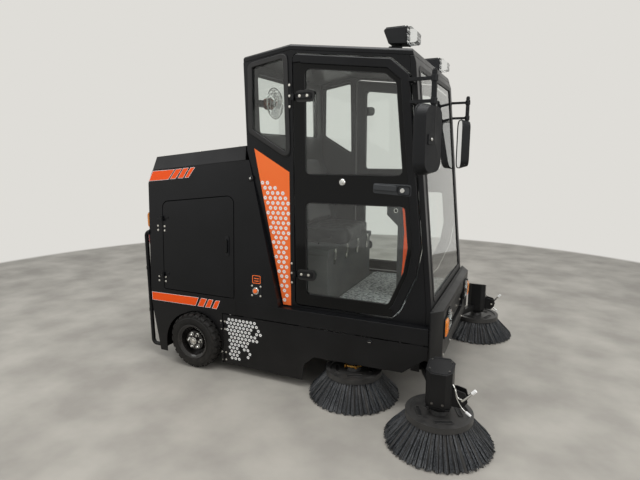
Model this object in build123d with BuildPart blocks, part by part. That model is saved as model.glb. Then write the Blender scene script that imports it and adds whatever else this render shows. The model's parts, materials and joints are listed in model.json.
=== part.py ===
"""Compact road sweeper with a one-seat glazed cab, four side brushes and a main roller.

Millimetres. X points forward, Y to the left and Z up. Z = 0 is the floor, Y = 0 is the
middle of the machine, and X = 0 is half way between the rear guards and the front brush tips.
"""
from build123d import *

from math import atan2, cos, degrees, hypot, pi, radians, sin
import os

os.makedirs("parts", exist_ok=True)

# Overall places
REAR_GUARD_X = -1200.0       # rearmost face of the corner guard tubes
REAR_X = -1138.0             # outer face of the rear panel
BODY_HALF = 600.0            # outer face of the lower body, from the middle
CAB_HALF = BODY_HALF - 52    # outer face of a cab side
HOOD_HALF = BODY_HALF - 44   # half width of the rear body at the hood's edge
SHEET = 5.0                  # thickness of pressed body sheet
SEAM = 5.5                   # open seam round a door or a hinged panel
SEAT_GAP = 0.3               # clearance between two faces that seat
RUN_FIT = 0.05               # radial clearance of a shaft in its bore

# Heights of the lower body
SILL_TOP_Z = 497.0
SILL_LOW_Z = 402.0
RAIL_LOW_Z = 396.0
BASE_X = (-425.0, 817.0)     # rear and front end of the channel under the cab floor

# Wheels: all three have the same tyre and rim
TYRE_R = 189.0               # to the corners of a tread block
TYRE_WIDTH = 94.0
BEAD_R = 104.0
LUG_DEPTH = 9.0
LUG_COUNT = 24
LUG_SHARE = 0.62             # share of the tread's length that the blocks take
SHOULDER = 12.0              # width of the blocks' bevel over each shoulder
AXLE_R = 15.0
REAR_AXLE_X = -748.0
REAR_TRACK_HALF = BODY_HALF + 12
FRONT_WHEEL_X = 620.0
ARCH_X = -777.0              # middle of the arch's rear curve, which stands off the tyre
ARCH_Z = 122.0
ARCH_R = 247.0
ARCH_GAP = 8.0               # clearance of the arch over the tyre

# Side brushes: all four are the same brush, as (X, Y) of the right-hand ones
BRUSH_R = 275.0
BRUSH_DISC_R = 168.0
BRUSH_DISC_LOW_Z = 135.0
BRUSH_DISC_TOP_Z = 165.0
BRUSH_HUB_TOP_Z = 175.0
BRUSH_TIP_Z = 2.0
SHAFT_R = 12.0
TUFT_COUNT = 36
FRONT_BRUSH = (925.0, -BODY_HALF - 209)
MID_BRUSH = (366.0, -BODY_HALF + 72)

# Main roller across the machine
ROLLER_X = -330.0
ROLLER_Z = 162.0
ROLLER_R = 158.0
ROLLER_HALF = BODY_HALF - 135
ROLLER_ROWS = 16

# Cab outline in the side view, as (X, Z)
CAB_FOOT = (-108.0, SILL_TOP_Z)
CAB_WAIST = (-336.0, 1459.0)
ROOF_REAR = (-345.0, 2002.0)
ROOF_PEAK = (-32.0, 2048.0)
ROOF_FRONT = (668.0, 1962.0)
HEADER_FRONT = (690.0, 1893.0)
SCREEN_FOOT = (819.0, 598.0)
CAB_WALL = 28.0
ROOF_THICK = 34.0
PILLAR_DEPTH = 30.0
PILLAR_TOP_Z = 1930.0
HEADER_TOP_X = 679.0
DOOR_REAR_X = -12.0
DOOR_LOW_Z = 520.0
DOOR_TOP_X = 560.0           # where the door's top edge turns down to its front edge
DOOR_FRONT_Z = (1835.0, 925.0)
DOOR_FOOT = [(728.0, 770.0), (645.0, 570.0), (600.0, DOOR_LOW_Z)]

# Hood of the rear body: its lower side edge rises from the rear to the cab
HOOD_REAR = (-1098.0, 1328.0)
HOOD_FRONT = (-342.0, 1399.0)
HOOD_HIGH = 88.0

NOSE_X = (822.0, 879.0)       # rear and front face of the nose

# Steering head
FORK_PLATE_LOW_Z = 2 * TYRE_R + 22
FORK_PLATE_TOP_Z = FORK_PLATE_LOW_Z + 14
KINGPIN_R = 20.0

# Front brush arms
ARM_PIVOT_X = 730.0
ARM_PIVOT_Y = -BODY_HALF + 135
ARM_Z = 225.0
ARM_SIZE = 40.0
ARM_ELBOW_X = 775.0

# Pin hinges: the fixed half carries the pin, and the moving half sits above it
HINGE_R = 10.0
HINGE_PIN_R = 5.0
HINGE_OFF = 12.0             # from the face to the middle of the pin
HINGE_LEAF = 3.0
HINGE_HALF = 17.0            # height of one half
SEAM_X = REAR_AXLE_X + TYRE_R + ARCH_GAP + 14  # rear seam of the hinged lower panels
DOOR_HINGE_Z = (708.0, 1755.0)
PANEL_HINGE_Z = (106.0, 321.0)
ACCESS_HINGE_UP = (110.0, 500.0)  # up the leaning flank


def screen_x(z):
    """X of the cab's raked front plane at the height z."""
    share = (z - SCREEN_FOOT[1]) / (HEADER_FRONT[1] - SCREEN_FOOT[1])
    return SCREEN_FOOT[0] + share * (HEADER_FRONT[0] - SCREEN_FOOT[0])


def rear_wall_x(z):
    """X of the outer face of the slanted wall behind the seat at the height z."""
    share = (z - CAB_FOOT[1]) / (CAB_WAIST[1] - CAB_FOOT[1])
    return CAB_FOOT[0] + share * (CAB_WAIST[0] - CAB_FOOT[0])


def roof_under_z(x):
    """Height of the roof panel's underside at x."""
    if x < ROOF_PEAK[0]:
        share = (x - ROOF_REAR[0]) / (ROOF_PEAK[0] - ROOF_REAR[0])
        return ROOF_REAR[1] + share * (ROOF_PEAK[1] - ROOF_REAR[1]) - ROOF_THICK
    share = (x - ROOF_PEAK[0]) / (ROOF_FRONT[0] - ROOF_PEAK[0])
    return ROOF_PEAK[1] + share * (ROOF_FRONT[1] - ROOF_PEAK[1]) - ROOF_THICK


def roof_top_z(x):
    """Height of the roof's outer face at x."""
    return roof_under_z(x) + ROOF_THICK


def side_plane(y):
    """A drawing plane whose x is X and whose y is Z, at the distance y, facing -Y."""
    return Plane(origin=(0, y, 0), x_dir=(1, 0, 0), z_dir=(0, -1, 0))


def front_plane(x):
    """A drawing plane across the machine whose x is Y and whose y is Z, facing +X."""
    return Plane(origin=(x, 0, 0), x_dir=(0, 1, 0), z_dir=(1, 0, 0))


def save(part, name):
    part.label = name
    export_step(part, f"parts/{name}.step")


def save_pair(part, name):
    """Writes a right-hand piece, and its mirror image on the left."""
    save(part, name + "_right")
    save(mirror(part, about=Plane.XZ), name + "_left")


def block(low, high):
    """A plain block between two corners, joined to the part that is being built."""
    size = [b - a for a, b in zip(low, high)]
    middle = [(a + b) / 2 for a, b in zip(low, high)]
    with Locations(tuple(middle)):
        Box(*size)


def block_pair(low, high):
    """The block between two corners and its mirror image across the middle."""
    block(low, high)
    block((low[0], -high[1], low[2]), (high[0], -low[1], high[2]))


def hinge_half(face, x, up, reach, moving):
    """Half a hinge on a face: its leaf on one side of the pin's line x, and its knuckle."""
    low = up + 0.5 if moving else up - 0.5 - HINGE_HALF
    across = dict(x_dir=face.x_dir, z_dir=-face.y_dir)
    with BuildPart() as half:
        top = face.from_local_coords((x, low + HINGE_HALF, 0))
        with BuildSketch(Plane(origin=top, **across)):
            with Locations((0, HINGE_OFF)):
                Circle(HINGE_R)
            Polygon((0, 0), (reach, 0), (reach, HINGE_LEAF), (0, HINGE_LEAF), align=None)
            with Locations((0, HINGE_OFF)):
                Circle(HINGE_PIN_R + (RUN_FIT if moving else 0), mode=Mode.SUBTRACT)
        extrude(amount=HINGE_HALF)
        if not moving:
            pin_top = face.from_local_coords((x, up + HINGE_HALF, 0))
            with BuildSketch(Plane(origin=pin_top, **across)):
                with Locations((0, HINGE_OFF)):
                    Circle(HINGE_PIN_R)
            extrude(amount=2 * HINGE_HALF + 0.5)
    return half.part


# Wheels: a tyre with two staggered rows of tread blocks, and a deep steel rim
HALF_TYRE = TYRE_WIDTH / 2
GROOVE_R = TYRE_R - LUG_DEPTH
SHOULDER_SHARE = 1 - LUG_DEPTH / TYRE_R  # size of the tread's ring at the outer end of its bevel
TREAD_HALF = HALF_TYRE - 6
TYRE_HALF = [  # radius, distance out: half the tyre's section, from the bead to under the tread
    (BEAD_R, HALF_TYRE - 12), (BEAD_R + 16, HALF_TYRE - 3), (BEAD_R + 38, HALF_TYRE),
    (GROOVE_R - 20, HALF_TYRE - 1), (GROOVE_R - 12, TREAD_HALF - 3),
]
wheel_section = Plane(origin=(0, 0, TYRE_R), x_dir=(1, 0, 0), z_dir=(0, 0, 1))
wheel_axis = Axis((0, 0, TYRE_R), (0, 1, 0))


def tread_ring(share, turn):
    """Corners of a ring of tread blocks, from the lowest block on, turned by so many blocks."""
    corners = []
    for i in range(LUG_COUNT):
        start = 2 * pi / LUG_COUNT * (i + turn) - pi / 2
        end = start + 2 * pi / LUG_COUNT * LUG_SHARE
        for angle, radius in ((start, GROOVE_R), (start, TYRE_R), (end, TYRE_R), (end, GROOVE_R)):
            corners.append((share * radius * cos(angle), share * radius * sin(angle)))
    return corners


with BuildPart() as tyre:
    for side, turn in ((-1, 0), (1, 0.5)):
        for out, share in ((0, 1), (TREAD_HALF - SHOULDER, 1), (TREAD_HALF, SHOULDER_SHARE)):
            with BuildSketch(Plane(origin=(0, side * out, TYRE_R), x_dir=(1, 0, 0), z_dir=(0, -1, 0))):
                Polygon(*tread_ring(share, turn), align=None)
        loft(ruled=True)
    with Locations(Location((0, 0, TYRE_R), (90, 0, 0))):
        Cylinder(TYRE_HALF[2][0], 2 * TYRE_WIDTH, mode=Mode.SUBTRACT)
    with BuildSketch(wheel_section):
        with BuildLine():
            Polyline(*TYRE_HALF, *[(r, -out) for r, out in reversed(TYRE_HALF)], close=True)
        make_face()
    revolve(axis=wheel_axis)

RIM_SEAT_R = BEAD_R - SEAT_GAP
RIM_PROFILE = [  # radius, distance out, from the bore round the studded face and the flanges
    (AXLE_R + RUN_FIT, -24), (AXLE_R + RUN_FIT, 30), (27, 30), (27, 16), (66, 16), (80, -12), (96, -12),
    (97, HALF_TYRE - 10), (110, HALF_TYRE - 3), (112, HALF_TYRE - 5),
    (RIM_SEAT_R, HALF_TYRE - 11.5), (RIM_SEAT_R, 11.5 - HALF_TYRE), (112, 5 - HALF_TYRE),
    (110, 3 - HALF_TYRE), (97, 10 - HALF_TYRE), (96, -18), (76, -18), (62, 9), (27, 9), (27, -24),
]
with BuildPart() as rim:
    with BuildSketch(wheel_section):
        with BuildLine():
            Polyline(*RIM_PROFILE, close=True)
        make_face()
    revolve(axis=wheel_axis)
    with BuildSketch(Plane(origin=(0, 16, TYRE_R), x_dir=(1, 0, 0), z_dir=(0, 1, 0))):
        with PolarLocations(46, 6):
            RegularPolygon(8.5, 6)
    extrude(amount=13)

for name, x, y, turn in (  # file name, place of the wheel's middle, turn that brings the studs outside
    ("rear_%s_right", REAR_AXLE_X, -REAR_TRACK_HALF, 180),
    ("rear_%s_left", REAR_AXLE_X, REAR_TRACK_HALF, 0),
    ("front_%s", FRONT_WHEEL_X, 0.0, 180),
):
    place = Location((x, y, 0), (0, 0, turn))
    save(tyre.part.moved(place), name % "tyre")
    save(rim.part.moved(place), name % "rim")


# Side brush: a thick-rimmed disc with a flared, tufted ring of bristles under it
def star(outer, inner, count):
    """The corners of a star, whose points are the tufts of a ring of bristles."""
    step = pi / count
    return [
        ((outer, inner)[i % 2] * cos(i * step), (outer, inner)[i % 2] * sin(i * step))
        for i in range(2 * count)
    ]


def make_brush(x, y):
    share = (BRUSH_DISC_R - 8) / BRUSH_R
    with BuildPart() as brush:
        with BuildSketch(Plane(origin=(x, y, BRUSH_TIP_Z))):
            Polygon(*star(BRUSH_R, BRUSH_R - 22, TUFT_COUNT), align=None)
        with BuildSketch(Plane(origin=(x, y, BRUSH_DISC_LOW_Z))):
            Polygon(*star(share * BRUSH_R, share * (BRUSH_R - 22), TUFT_COUNT), align=None)
        loft(ruled=True)
        with BuildSketch(Plane(origin=(x, y, 0), x_dir=(1, 0, 0), z_dir=(0, -1, 0))):
            Polygon(
                (0, BRUSH_TIP_Z - 1), (BRUSH_R - 60, BRUSH_TIP_Z - 1),
                (BRUSH_DISC_R - 70, BRUSH_DISC_LOW_Z - 20), (0, BRUSH_DISC_LOW_Z - 20), align=None,
            )
        revolve(axis=Axis((x, y, 0), (0, 0, 1)), mode=Mode.SUBTRACT)
        with BuildSketch(Plane(origin=(x, y, 0), x_dir=(1, 0, 0), z_dir=(0, -1, 0))):
            Polygon(
                (0, BRUSH_DISC_LOW_Z - 1), (BRUSH_DISC_R, BRUSH_DISC_LOW_Z - 1),
                (BRUSH_DISC_R, BRUSH_DISC_TOP_Z), (BRUSH_DISC_R - 22, BRUSH_DISC_TOP_Z),
                (BRUSH_DISC_R - 26, BRUSH_DISC_TOP_Z - 9), (44, BRUSH_DISC_TOP_Z - 9),
                (40, BRUSH_HUB_TOP_Z), (0, BRUSH_HUB_TOP_Z), align=None,
            )
        revolve(axis=Axis((x, y, 0), (0, 0, 1)))
        with Locations((x, y, 0)):
            Cylinder(SHAFT_R + RUN_FIT, 2 * BRUSH_HUB_TOP_Z + 10, mode=Mode.SUBTRACT)
    return brush.part


save_pair(make_brush(*FRONT_BRUSH), "front_brush")
save_pair(make_brush(*MID_BRUSH), "mid_brush")

# Main roller: a core tube with rows of bristles, carried on a stub pin at each end
with BuildPart() as roller:
    with BuildSketch(side_plane(-ROLLER_HALF)):
        with Locations((ROLLER_X, ROLLER_Z)):
            Polygon(*star(ROLLER_R, ROLLER_R - 34, ROLLER_ROWS), align=None)
    extrude(amount=-2 * ROLLER_HALF)
    with Locations(Location((ROLLER_X, 0, ROLLER_Z), (90, 0, 0))):
        Cylinder(SHAFT_R + RUN_FIT, 2 * ROLLER_HALF + 2, mode=Mode.SUBTRACT)
save(roller.part, "roller_brush")

# Frame: two rails with the cross members under them
RAIL_TOP_Z = SILL_TOP_Z - SHEET
MEMBER_TOP_Z = 444.0
RAIL_Y = BODY_HALF - 300
RAIL_WIDE = 50.0
MEMBER_REACH = BODY_HALF - SHEET
LASH_X = -1050.0             # sockets for lashing the machine down, in the rearmost cross member
LASH_Y = RAIL_Y + 150
LASH_R = 11.0
SADDLE_WIDE = 80.0
REAR_AXLE_R = 28.0
with BuildPart() as rails:
    block_pair(
        (-1110, RAIL_Y - RAIL_WIDE / 2, MEMBER_TOP_Z), (NOSE_X[0], RAIL_Y + RAIL_WIDE / 2, RAIL_TOP_Z),
    )
save(rails.part, "chassis_rails")

cross_members = (  # middle X, width along X, half length
    (LASH_X, 50.0, MEMBER_REACH),
    (REAR_AXLE_X, 90.0, RAIL_Y + 40),
    (60.0, 50.0, MEMBER_REACH),
)
with BuildPart() as members:
    for x, wide, reach in cross_members:
        block((x - wide / 2, -reach, RAIL_LOW_Z), (x + wide / 2, reach, MEMBER_TOP_Z))
    block_pair(
        (REAR_AXLE_X - SADDLE_WIDE / 2, RAIL_Y - 20, TYRE_R + REAR_AXLE_R + SEAT_GAP),
        (REAR_AXLE_X + SADDLE_WIDE / 2, RAIL_Y + 20, RAIL_LOW_Z + 5),
    )
    with Locations((LASH_X, -LASH_Y, RAIL_LOW_Z), (LASH_X, LASH_Y, RAIL_LOW_Z)):
        Cylinder(LASH_R, 200, mode=Mode.SUBTRACT)
save(members.part, "cross_members")

HANGER_Y = ROLLER_HALF + 12
with BuildPart() as roller_hanger:
    block((ROLLER_X - 40, -MEMBER_REACH, RAIL_LOW_Z), (ROLLER_X + 40, MEMBER_REACH, MEMBER_TOP_Z))
    block_pair((ROLLER_X - 40, HANGER_Y, ROLLER_Z - 40), (ROLLER_X + 40, HANGER_Y + 10, RAIL_LOW_Z + 5))
    for side in (-1, 1):
        with Locations(Location((ROLLER_X, side * (HANGER_Y - 20), ROLLER_Z), (90, 0, 0))):
            Cylinder(SHAFT_R, 44)
save(roller_hanger.part, "roller_hanger")

# Brush carriers: the member with the mid brush motors, and the one with the front arms' pivots
MOTOR_R = 50.0
MOTOR_LOW_Z = BRUSH_HUB_TOP_Z + 10
EAR_Y = (ARM_PIVOT_Y - 40, ARM_PIVOT_Y + 40)
EAR_THICK = 8.0
with BuildPart() as carriers:
    block(
        (MID_BRUSH[0] - 30, -MEMBER_REACH, RAIL_LOW_Z), (MID_BRUSH[0] + 30, MEMBER_REACH, MEMBER_TOP_Z),
    )
    block((ARM_PIVOT_X - 10, -MEMBER_REACH, RAIL_LOW_Z), (ARM_PIVOT_X + 50, MEMBER_REACH, MEMBER_TOP_Z))
    for side in (-1, 1):
        with Locations((MID_BRUSH[0], side * MID_BRUSH[1], (MOTOR_LOW_Z + RAIL_LOW_Z) / 2)):
            Cylinder(MOTOR_R, RAIL_LOW_Z - MOTOR_LOW_Z + 2)
        with Locations((MID_BRUSH[0], side * MID_BRUSH[1], (BRUSH_DISC_LOW_Z + MOTOR_LOW_Z) / 2 - 6)):
            Cylinder(SHAFT_R, MOTOR_LOW_Z - BRUSH_DISC_LOW_Z + 14)
        with Locations(Location((ARM_PIVOT_X, side * ARM_PIVOT_Y, ARM_Z), (90, 0, 0))):
            Cylinder(SHAFT_R, EAR_Y[1] - EAR_Y[0])
    for low_y, high_y in ((EAR_Y[0], EAR_Y[0] + EAR_THICK), (EAR_Y[1] - EAR_THICK, EAR_Y[1])):
        block_pair((ARM_PIVOT_X - 25, low_y, ARM_Z - 25), (ARM_PIVOT_X + 25, high_y, RAIL_LOW_Z + 5))
save(carriers.part, "brush_carriers")

# Steering head: the block between the rails that holds the kingpin
HEAD_LOW_Z = FORK_PLATE_TOP_Z + SEAT_GAP
with BuildPart() as steering_head:
    block(
        (FRONT_WHEEL_X - 60, -RAIL_Y + RAIL_WIDE / 2, HEAD_LOW_Z),
        (FRONT_WHEEL_X + 60, RAIL_Y - RAIL_WIDE / 2, RAIL_TOP_Z),
    )
    with Locations((FRONT_WHEEL_X, 0, RAIL_TOP_Z)):
        Cylinder(KINGPIN_R + RUN_FIT, 200, mode=Mode.SUBTRACT)
save(steering_head.part, "steering_head")

# Rear axle: a tube with a stub at each end and a drive unit in the middle
with BuildPart() as rear_axle:
    with Locations(Location((REAR_AXLE_X, 0, TYRE_R), (90, 0, 0))):
        Cylinder(REAR_AXLE_R, 2 * (REAR_TRACK_HALF - 46))
        Cylinder(AXLE_R, 2 * (REAR_TRACK_HALF + 34))
        Cylinder(95, 150)
    block((REAR_AXLE_X - 70, -75, TYRE_R - 60), (REAR_AXLE_X + 150, 75, TYRE_R + 60))
save(rear_axle.part, "rear_axle")

# Steering fork: kingpin, top plate, two legs and the front wheel's axle
FORK_LEG_Y = TYRE_WIDTH / 2 + 10
FORK_LEG_THICK = 12.0
with BuildPart() as fork:
    block(
        (FRONT_WHEEL_X - 60, -FORK_LEG_Y - FORK_LEG_THICK, FORK_PLATE_LOW_Z),
        (FRONT_WHEEL_X + 60, FORK_LEG_Y + FORK_LEG_THICK, FORK_PLATE_TOP_Z),
    )
    for y in (-FORK_LEG_Y, FORK_LEG_Y + FORK_LEG_THICK):
        with BuildSketch(side_plane(y)):
            Polygon(
                (FRONT_WHEEL_X - 55, FORK_PLATE_LOW_Z + 2), (FRONT_WHEEL_X + 55, FORK_PLATE_LOW_Z + 2),
                (FRONT_WHEEL_X + 26, TYRE_R), (FRONT_WHEEL_X - 26, TYRE_R), align=None,
            )
            with Locations((FRONT_WHEEL_X, TYRE_R)):
                Circle(26)
        extrude(amount=FORK_LEG_THICK)
    with Locations(Location((FRONT_WHEEL_X, 0, TYRE_R), (90, 0, 0))):
        Cylinder(AXLE_R, 2 * FORK_LEG_Y + 2)
    with Locations((FRONT_WHEEL_X, 0, (FORK_PLATE_TOP_Z + RAIL_TOP_Z) / 2)):
        Cylinder(KINGPIN_R, RAIL_TOP_Z - FORK_PLATE_TOP_Z)
save(fork.part, "steering_fork")

# Cab base: the channel between the two side ledges, under the cab floor
with BuildPart() as cab_base:
    with BuildSketch(front_plane(BASE_X[0])):
        Polygon(
            (-BODY_HALF, SILL_LOW_Z), (-BODY_HALF, SILL_TOP_Z), (BODY_HALF, SILL_TOP_Z),
            (BODY_HALF, SILL_LOW_Z), (BODY_HALF - SHEET, SILL_LOW_Z), (BODY_HALF - SHEET, RAIL_TOP_Z),
            (SHEET - BODY_HALF, RAIL_TOP_Z), (SHEET - BODY_HALF, SILL_LOW_Z), align=None,
        )
    extrude(amount=BASE_X[1] - BASE_X[0])
save(cab_base.part, "cab_base")

# Rear body: a sheet box whose sides lean in above the sill, with a door opening in each side
FLANK_LOW_Z = 505.0          # the sides lean in above this height
lean = atan2(BODY_HALF - HOOD_HALF, HOOD_REAR[1] - FLANK_LOW_Z)
flank = Plane(origin=(0, -BODY_HALF, FLANK_LOW_Z), x_dir=(1, 0, 0), z_dir=(0, -cos(lean), sin(lean)))
ACCESS_X = (-1015.0, -440.0)
ACCESS_Z = (12.0, 612.0, 672.0)  # foot, rear top and front top, up the leaning flank


def access_outline(grow):
    """The access door's outline on the flank, made larger all round by grow."""
    with BuildSketch() as outline:
        Polygon(
            (ACCESS_X[0] - grow, ACCESS_Z[0] - grow), (ACCESS_X[1] + grow, ACCESS_Z[0] - grow),
            (ACCESS_X[1] + grow, ACCESS_Z[2] + grow), (ACCESS_X[0] - grow, ACCESS_Z[1] + grow), align=None,
        )
        fillet(outline.vertices().sort_by(Axis.Y)[:2], 12 + grow)
        fillet(outline.vertices().sort_by(Axis.Y)[-2:], 45 + grow)
    return outline.sketch


BODY_OUTLINE = [
    (-1084, 52), (REAR_X, SILL_LOW_Z), (REAR_X, 1242), HOOD_REAR, HOOD_FRONT,
    (rear_wall_x(HOOD_FRONT[1]), HOOD_FRONT[1]), CAB_FOOT, (BASE_X[0], SILL_TOP_Z),
    (BASE_X[0], SILL_LOW_Z), (SEAM_X, SILL_LOW_Z), (SEAM_X, 55),
]
INNER_OUTLINE = [
    (-1079, 30), (REAR_X + SHEET, SILL_LOW_Z), (REAR_X + SHEET, 1240), (HOOD_REAR[0] + SHEET, HOOD_REAR[1]),
    (HOOD_REAR[0] + SHEET, 1500), (HOOD_FRONT[0], 1500), (rear_wall_x(HOOD_FRONT[1]) - SHEET, HOOD_FRONT[1]),
    (CAB_FOOT[0] - SHEET, SILL_TOP_Z + SHEET), (BASE_X[0], SILL_TOP_Z + SHEET), (BASE_X[0], 30),
]


def body_prism(outline, half, shrink):
    """A side outline drawn across the machine, its sides leaning in above the sill."""
    with BuildPart() as prism:
        with BuildSketch(side_plane(half)):
            Polygon(*outline, align=None)
        extrude(amount=2 * half)
        low_half = BODY_HALF - shrink
        high_half = low_half - 2 * (BODY_HALF - HOOD_HALF)
        high_z = FLANK_LOW_Z + 2 * (HOOD_REAR[1] - FLANK_LOW_Z)
        for side in (-1, 1):
            with BuildSketch(Plane.YZ.offset(REAR_X - 100)):
                Polygon(
                    (side * low_half, FLANK_LOW_Z), (side * high_half, high_z),
                    (side * (BODY_HALF + 200), high_z), (side * (BODY_HALF + 200), FLANK_LOW_Z), align=None,
                )
            extrude(amount=1200, mode=Mode.SUBTRACT)
    return prism.part


lower_face = side_plane(-BODY_HALF)
ACCESS_PIN_X = ACCESS_X[0] - SEAM / 2
PANEL_PIN_X = SEAM_X + SEAM / 2
body_hinges = [hinge_half(flank, ACCESS_PIN_X, up, -48, False) for up in ACCESS_HINGE_UP]
body_hinges += [hinge_half(lower_face, PANEL_PIN_X, z, -16, False) for z in PANEL_HINGE_Z]
body_outside = body_prism(BODY_OUTLINE, BODY_HALF, 0)
body_inside = body_prism(INNER_OUTLINE, BODY_HALF - SHEET, SHEET)
access_hole = access_outline(SEAM)
with BuildPart() as access_cutter:
    with BuildSketch(flank):
        add(access_hole)
    extrude(amount=60, both=True)
with BuildPart() as rear_body:
    add(body_outside)
    add(body_inside, mode=Mode.SUBTRACT)
    add(access_cutter.part, mode=Mode.SUBTRACT)
    add(mirror(access_cutter.part, about=Plane.XZ), mode=Mode.SUBTRACT)
    with BuildSketch(side_plane(BODY_HALF + 10)):
        with Locations((ARCH_X, ARCH_Z)):
            Circle(ARCH_R)
            Rectangle(2 * ARCH_R, ARCH_R, align=(Align.CENTER, Align.MAX))
            Rectangle(ARCH_R + 10, 3 * ARCH_R, align=(Align.MIN, Align.CENTER), mode=Mode.SUBTRACT)
        with Locations((REAR_AXLE_X, TYRE_R)):
            Circle(TYRE_R + ARCH_GAP)
            Rectangle(2 * (TYRE_R + ARCH_GAP), TYRE_R + 50, align=(Align.CENTER, Align.MAX))
    extrude(amount=2 * BODY_HALF + 20, mode=Mode.SUBTRACT)
    for half in body_hinges:
        add(half)
        add(mirror(half, about=Plane.XZ))
save(rear_body.part, "rear_body")

access_face = access_outline(0)
access_hinges = [hinge_half(flank, ACCESS_PIN_X, up, 48, True) for up in ACCESS_HINGE_UP]
with BuildPart() as access_door:
    with BuildSketch(flank):
        add(access_face)
    extrude(amount=-SHEET)
    add(access_hinges)
save_pair(access_door.part, "access_door")

# Hood: a bolted cover with leaning sides over the rear body
rise = atan2(HOOD_FRONT[1] - HOOD_REAR[1], HOOD_FRONT[0] - HOOD_REAR[0])
hood_long = hypot(HOOD_FRONT[1] - HOOD_REAR[1], HOOD_FRONT[0] - HOOD_REAR[0]) - 4
HOOD_LEAN = 28.0


def hood_block(inset):
    """The hood's outer form, or its hollow when inset is the sheet's thickness."""
    with BuildPart() as form:
        for high, lean_in in ((0, 0), (HOOD_HIGH, HOOD_LEAN)):
            up = high - inset
            level = Plane(
                origin=(HOOD_REAR[0] - sin(rise) * up, 0, HOOD_REAR[1] + cos(rise) * up),
                x_dir=(cos(rise), 0, sin(rise)), z_dir=(-sin(rise), 0, cos(rise)),
            )
            with BuildSketch(level):
                low_x = lean_in + inset
                half = HOOD_HALF - lean_in - inset
                with Locations(((low_x + hood_long - inset) / 2, 0)):
                    Rectangle(hood_long - inset - low_x, 2 * half)
        loft(ruled=True)
    return form.part


hood_outside = hood_block(0)
hood_inside = hood_block(SHEET)
with BuildPart() as hood:
    add(hood_outside)
    add(hood_inside, mode=Mode.SUBTRACT)
save(hood.part, "hood_cover")

# Rear panel: a bolted sheet with a row of outlet slots
with BuildPart() as rear_panel:
    with BuildSketch(Plane.YZ.offset(REAR_X)):
        with Locations((0, 820)):
            RectangleRounded(2 * (HOOD_HALF - 76), 760, 30)
        with Locations((0, 1060)):
            with GridLocations(0, 34, 1, 6):
                SlotOverall(620, 14, mode=Mode.SUBTRACT)
    extrude(amount=-8)
save(rear_panel.part, "rear_panel")

# Battery: the one heavy block inside the rear body
BATTERY_HALF = 380.0
with BuildPart() as battery:
    block((-980, -BATTERY_HALF, RAIL_TOP_Z), (-480, BATTERY_HALF, 900))
    fillet(battery.edges().filter_by(Axis.Z), 12)
save(battery.part, "battery_block")

# Nose: the box under the windscreen, with a recess between the lamps
NOSE_Z = (275.0, 583.0, 594.0)  # bottom, front edge and rear edge of the top
NOSE_LIP = 24.0              # bevel along the foot of the front face
NOSE_FRONT_HALF = BODY_HALF - 94
LAMP_POCKET = 12.0
POCKET_ROUND = 10.0
LAMPS = (  # middle Y on the right, middle Z, width, height
    ("headlamp_lenses", 161 - NOSE_FRONT_HALF, 484.0, 88.0, 122.0),
    ("indicator_lenses", 68 - NOSE_FRONT_HALF, 468.0, 84.0, 104.0),
)
with BuildPart() as nose:
    with BuildSketch(Plane.XY.offset(NOSE_Z[0])):
        Polygon(
            (NOSE_X[0], -BODY_HALF), (NOSE_X[0] + 6, -BODY_HALF), (NOSE_X[1], -NOSE_FRONT_HALF),
            (NOSE_X[1], NOSE_FRONT_HALF), (NOSE_X[0] + 6, BODY_HALF), (NOSE_X[0], BODY_HALF), align=None,
        )
    extrude(amount=NOSE_Z[2] - NOSE_Z[0])
    with BuildSketch(side_plane(BODY_HALF + 1)):
        Polygon(
            (NOSE_X[0], NOSE_Z[2]), (NOSE_X[1] + 1, NOSE_Z[1]), (NOSE_X[1] + 1, NOSE_Z[2] + 1),
            (NOSE_X[0], NOSE_Z[2] + 1), align=None,
        )
        Polygon(
            (NOSE_X[1] - NOSE_LIP, NOSE_Z[0] - 1), (NOSE_X[1] + 1, NOSE_Z[0] - 1),
            (NOSE_X[1] + 1, NOSE_Z[0] + NOSE_LIP), align=None,
        )
    extrude(amount=2 * BODY_HALF + 2, mode=Mode.SUBTRACT)
    with BuildSketch(front_plane(NOSE_X[1])):
        with Locations((0, 440)):
            RectangleRounded(560, 130, 20)
    extrude(amount=-30, mode=Mode.SUBTRACT)
    for _, y, z, wide, high in LAMPS:
        with BuildSketch(front_plane(NOSE_X[1])):
            with Locations((y, z), (-y, z)):
                RectangleRounded(wide, high, POCKET_ROUND)
        extrude(amount=-LAMP_POCKET, mode=Mode.SUBTRACT)
save(nose.part, "nose")

for name, y, z, wide, high in LAMPS:
    with BuildPart() as lens:
        with BuildSketch(front_plane(NOSE_X[1] - LAMP_POCKET)):
            with Locations((y, z), (-y, z)):
                RectangleRounded(wide - 2 * SEAT_GAP, high - 2 * SEAT_GAP, POCKET_ROUND - SEAT_GAP)
        extrude(amount=LAMP_POCKET + 4)
        chamfer(lens.faces().filter_by(Axis.X).group_by(Axis.X)[-1].edges(), 3)
    save(lens.part, name)

# Cab sides, with the door opening and the quarter window cut out
PANE_THICK = 6.0
PANE_INSET = 6.0             # from the face of a side or a door to its glass
WINDOW_SEAM = SEAT_GAP
QUARTER = [(-298, 1948), (-62, 1986), (-50, 1420), (-304, 1572)]
DOOR_FRONT_GAP = SEAM + PILLAR_DEPTH


def quarter_outline(shrink):
    """The quarter window's outline in the side view, made smaller all round by shrink."""
    with BuildSketch() as outline:
        Polygon(*QUARTER, align=None)
        fillet(outline.vertices(), 16)
        if shrink:
            offset(amount=-shrink, mode=Mode.REPLACE)
    return outline.sketch


def door_top_z(x):
    """Height of the door's top edge at x."""
    return roof_under_z(x) - 22


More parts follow.
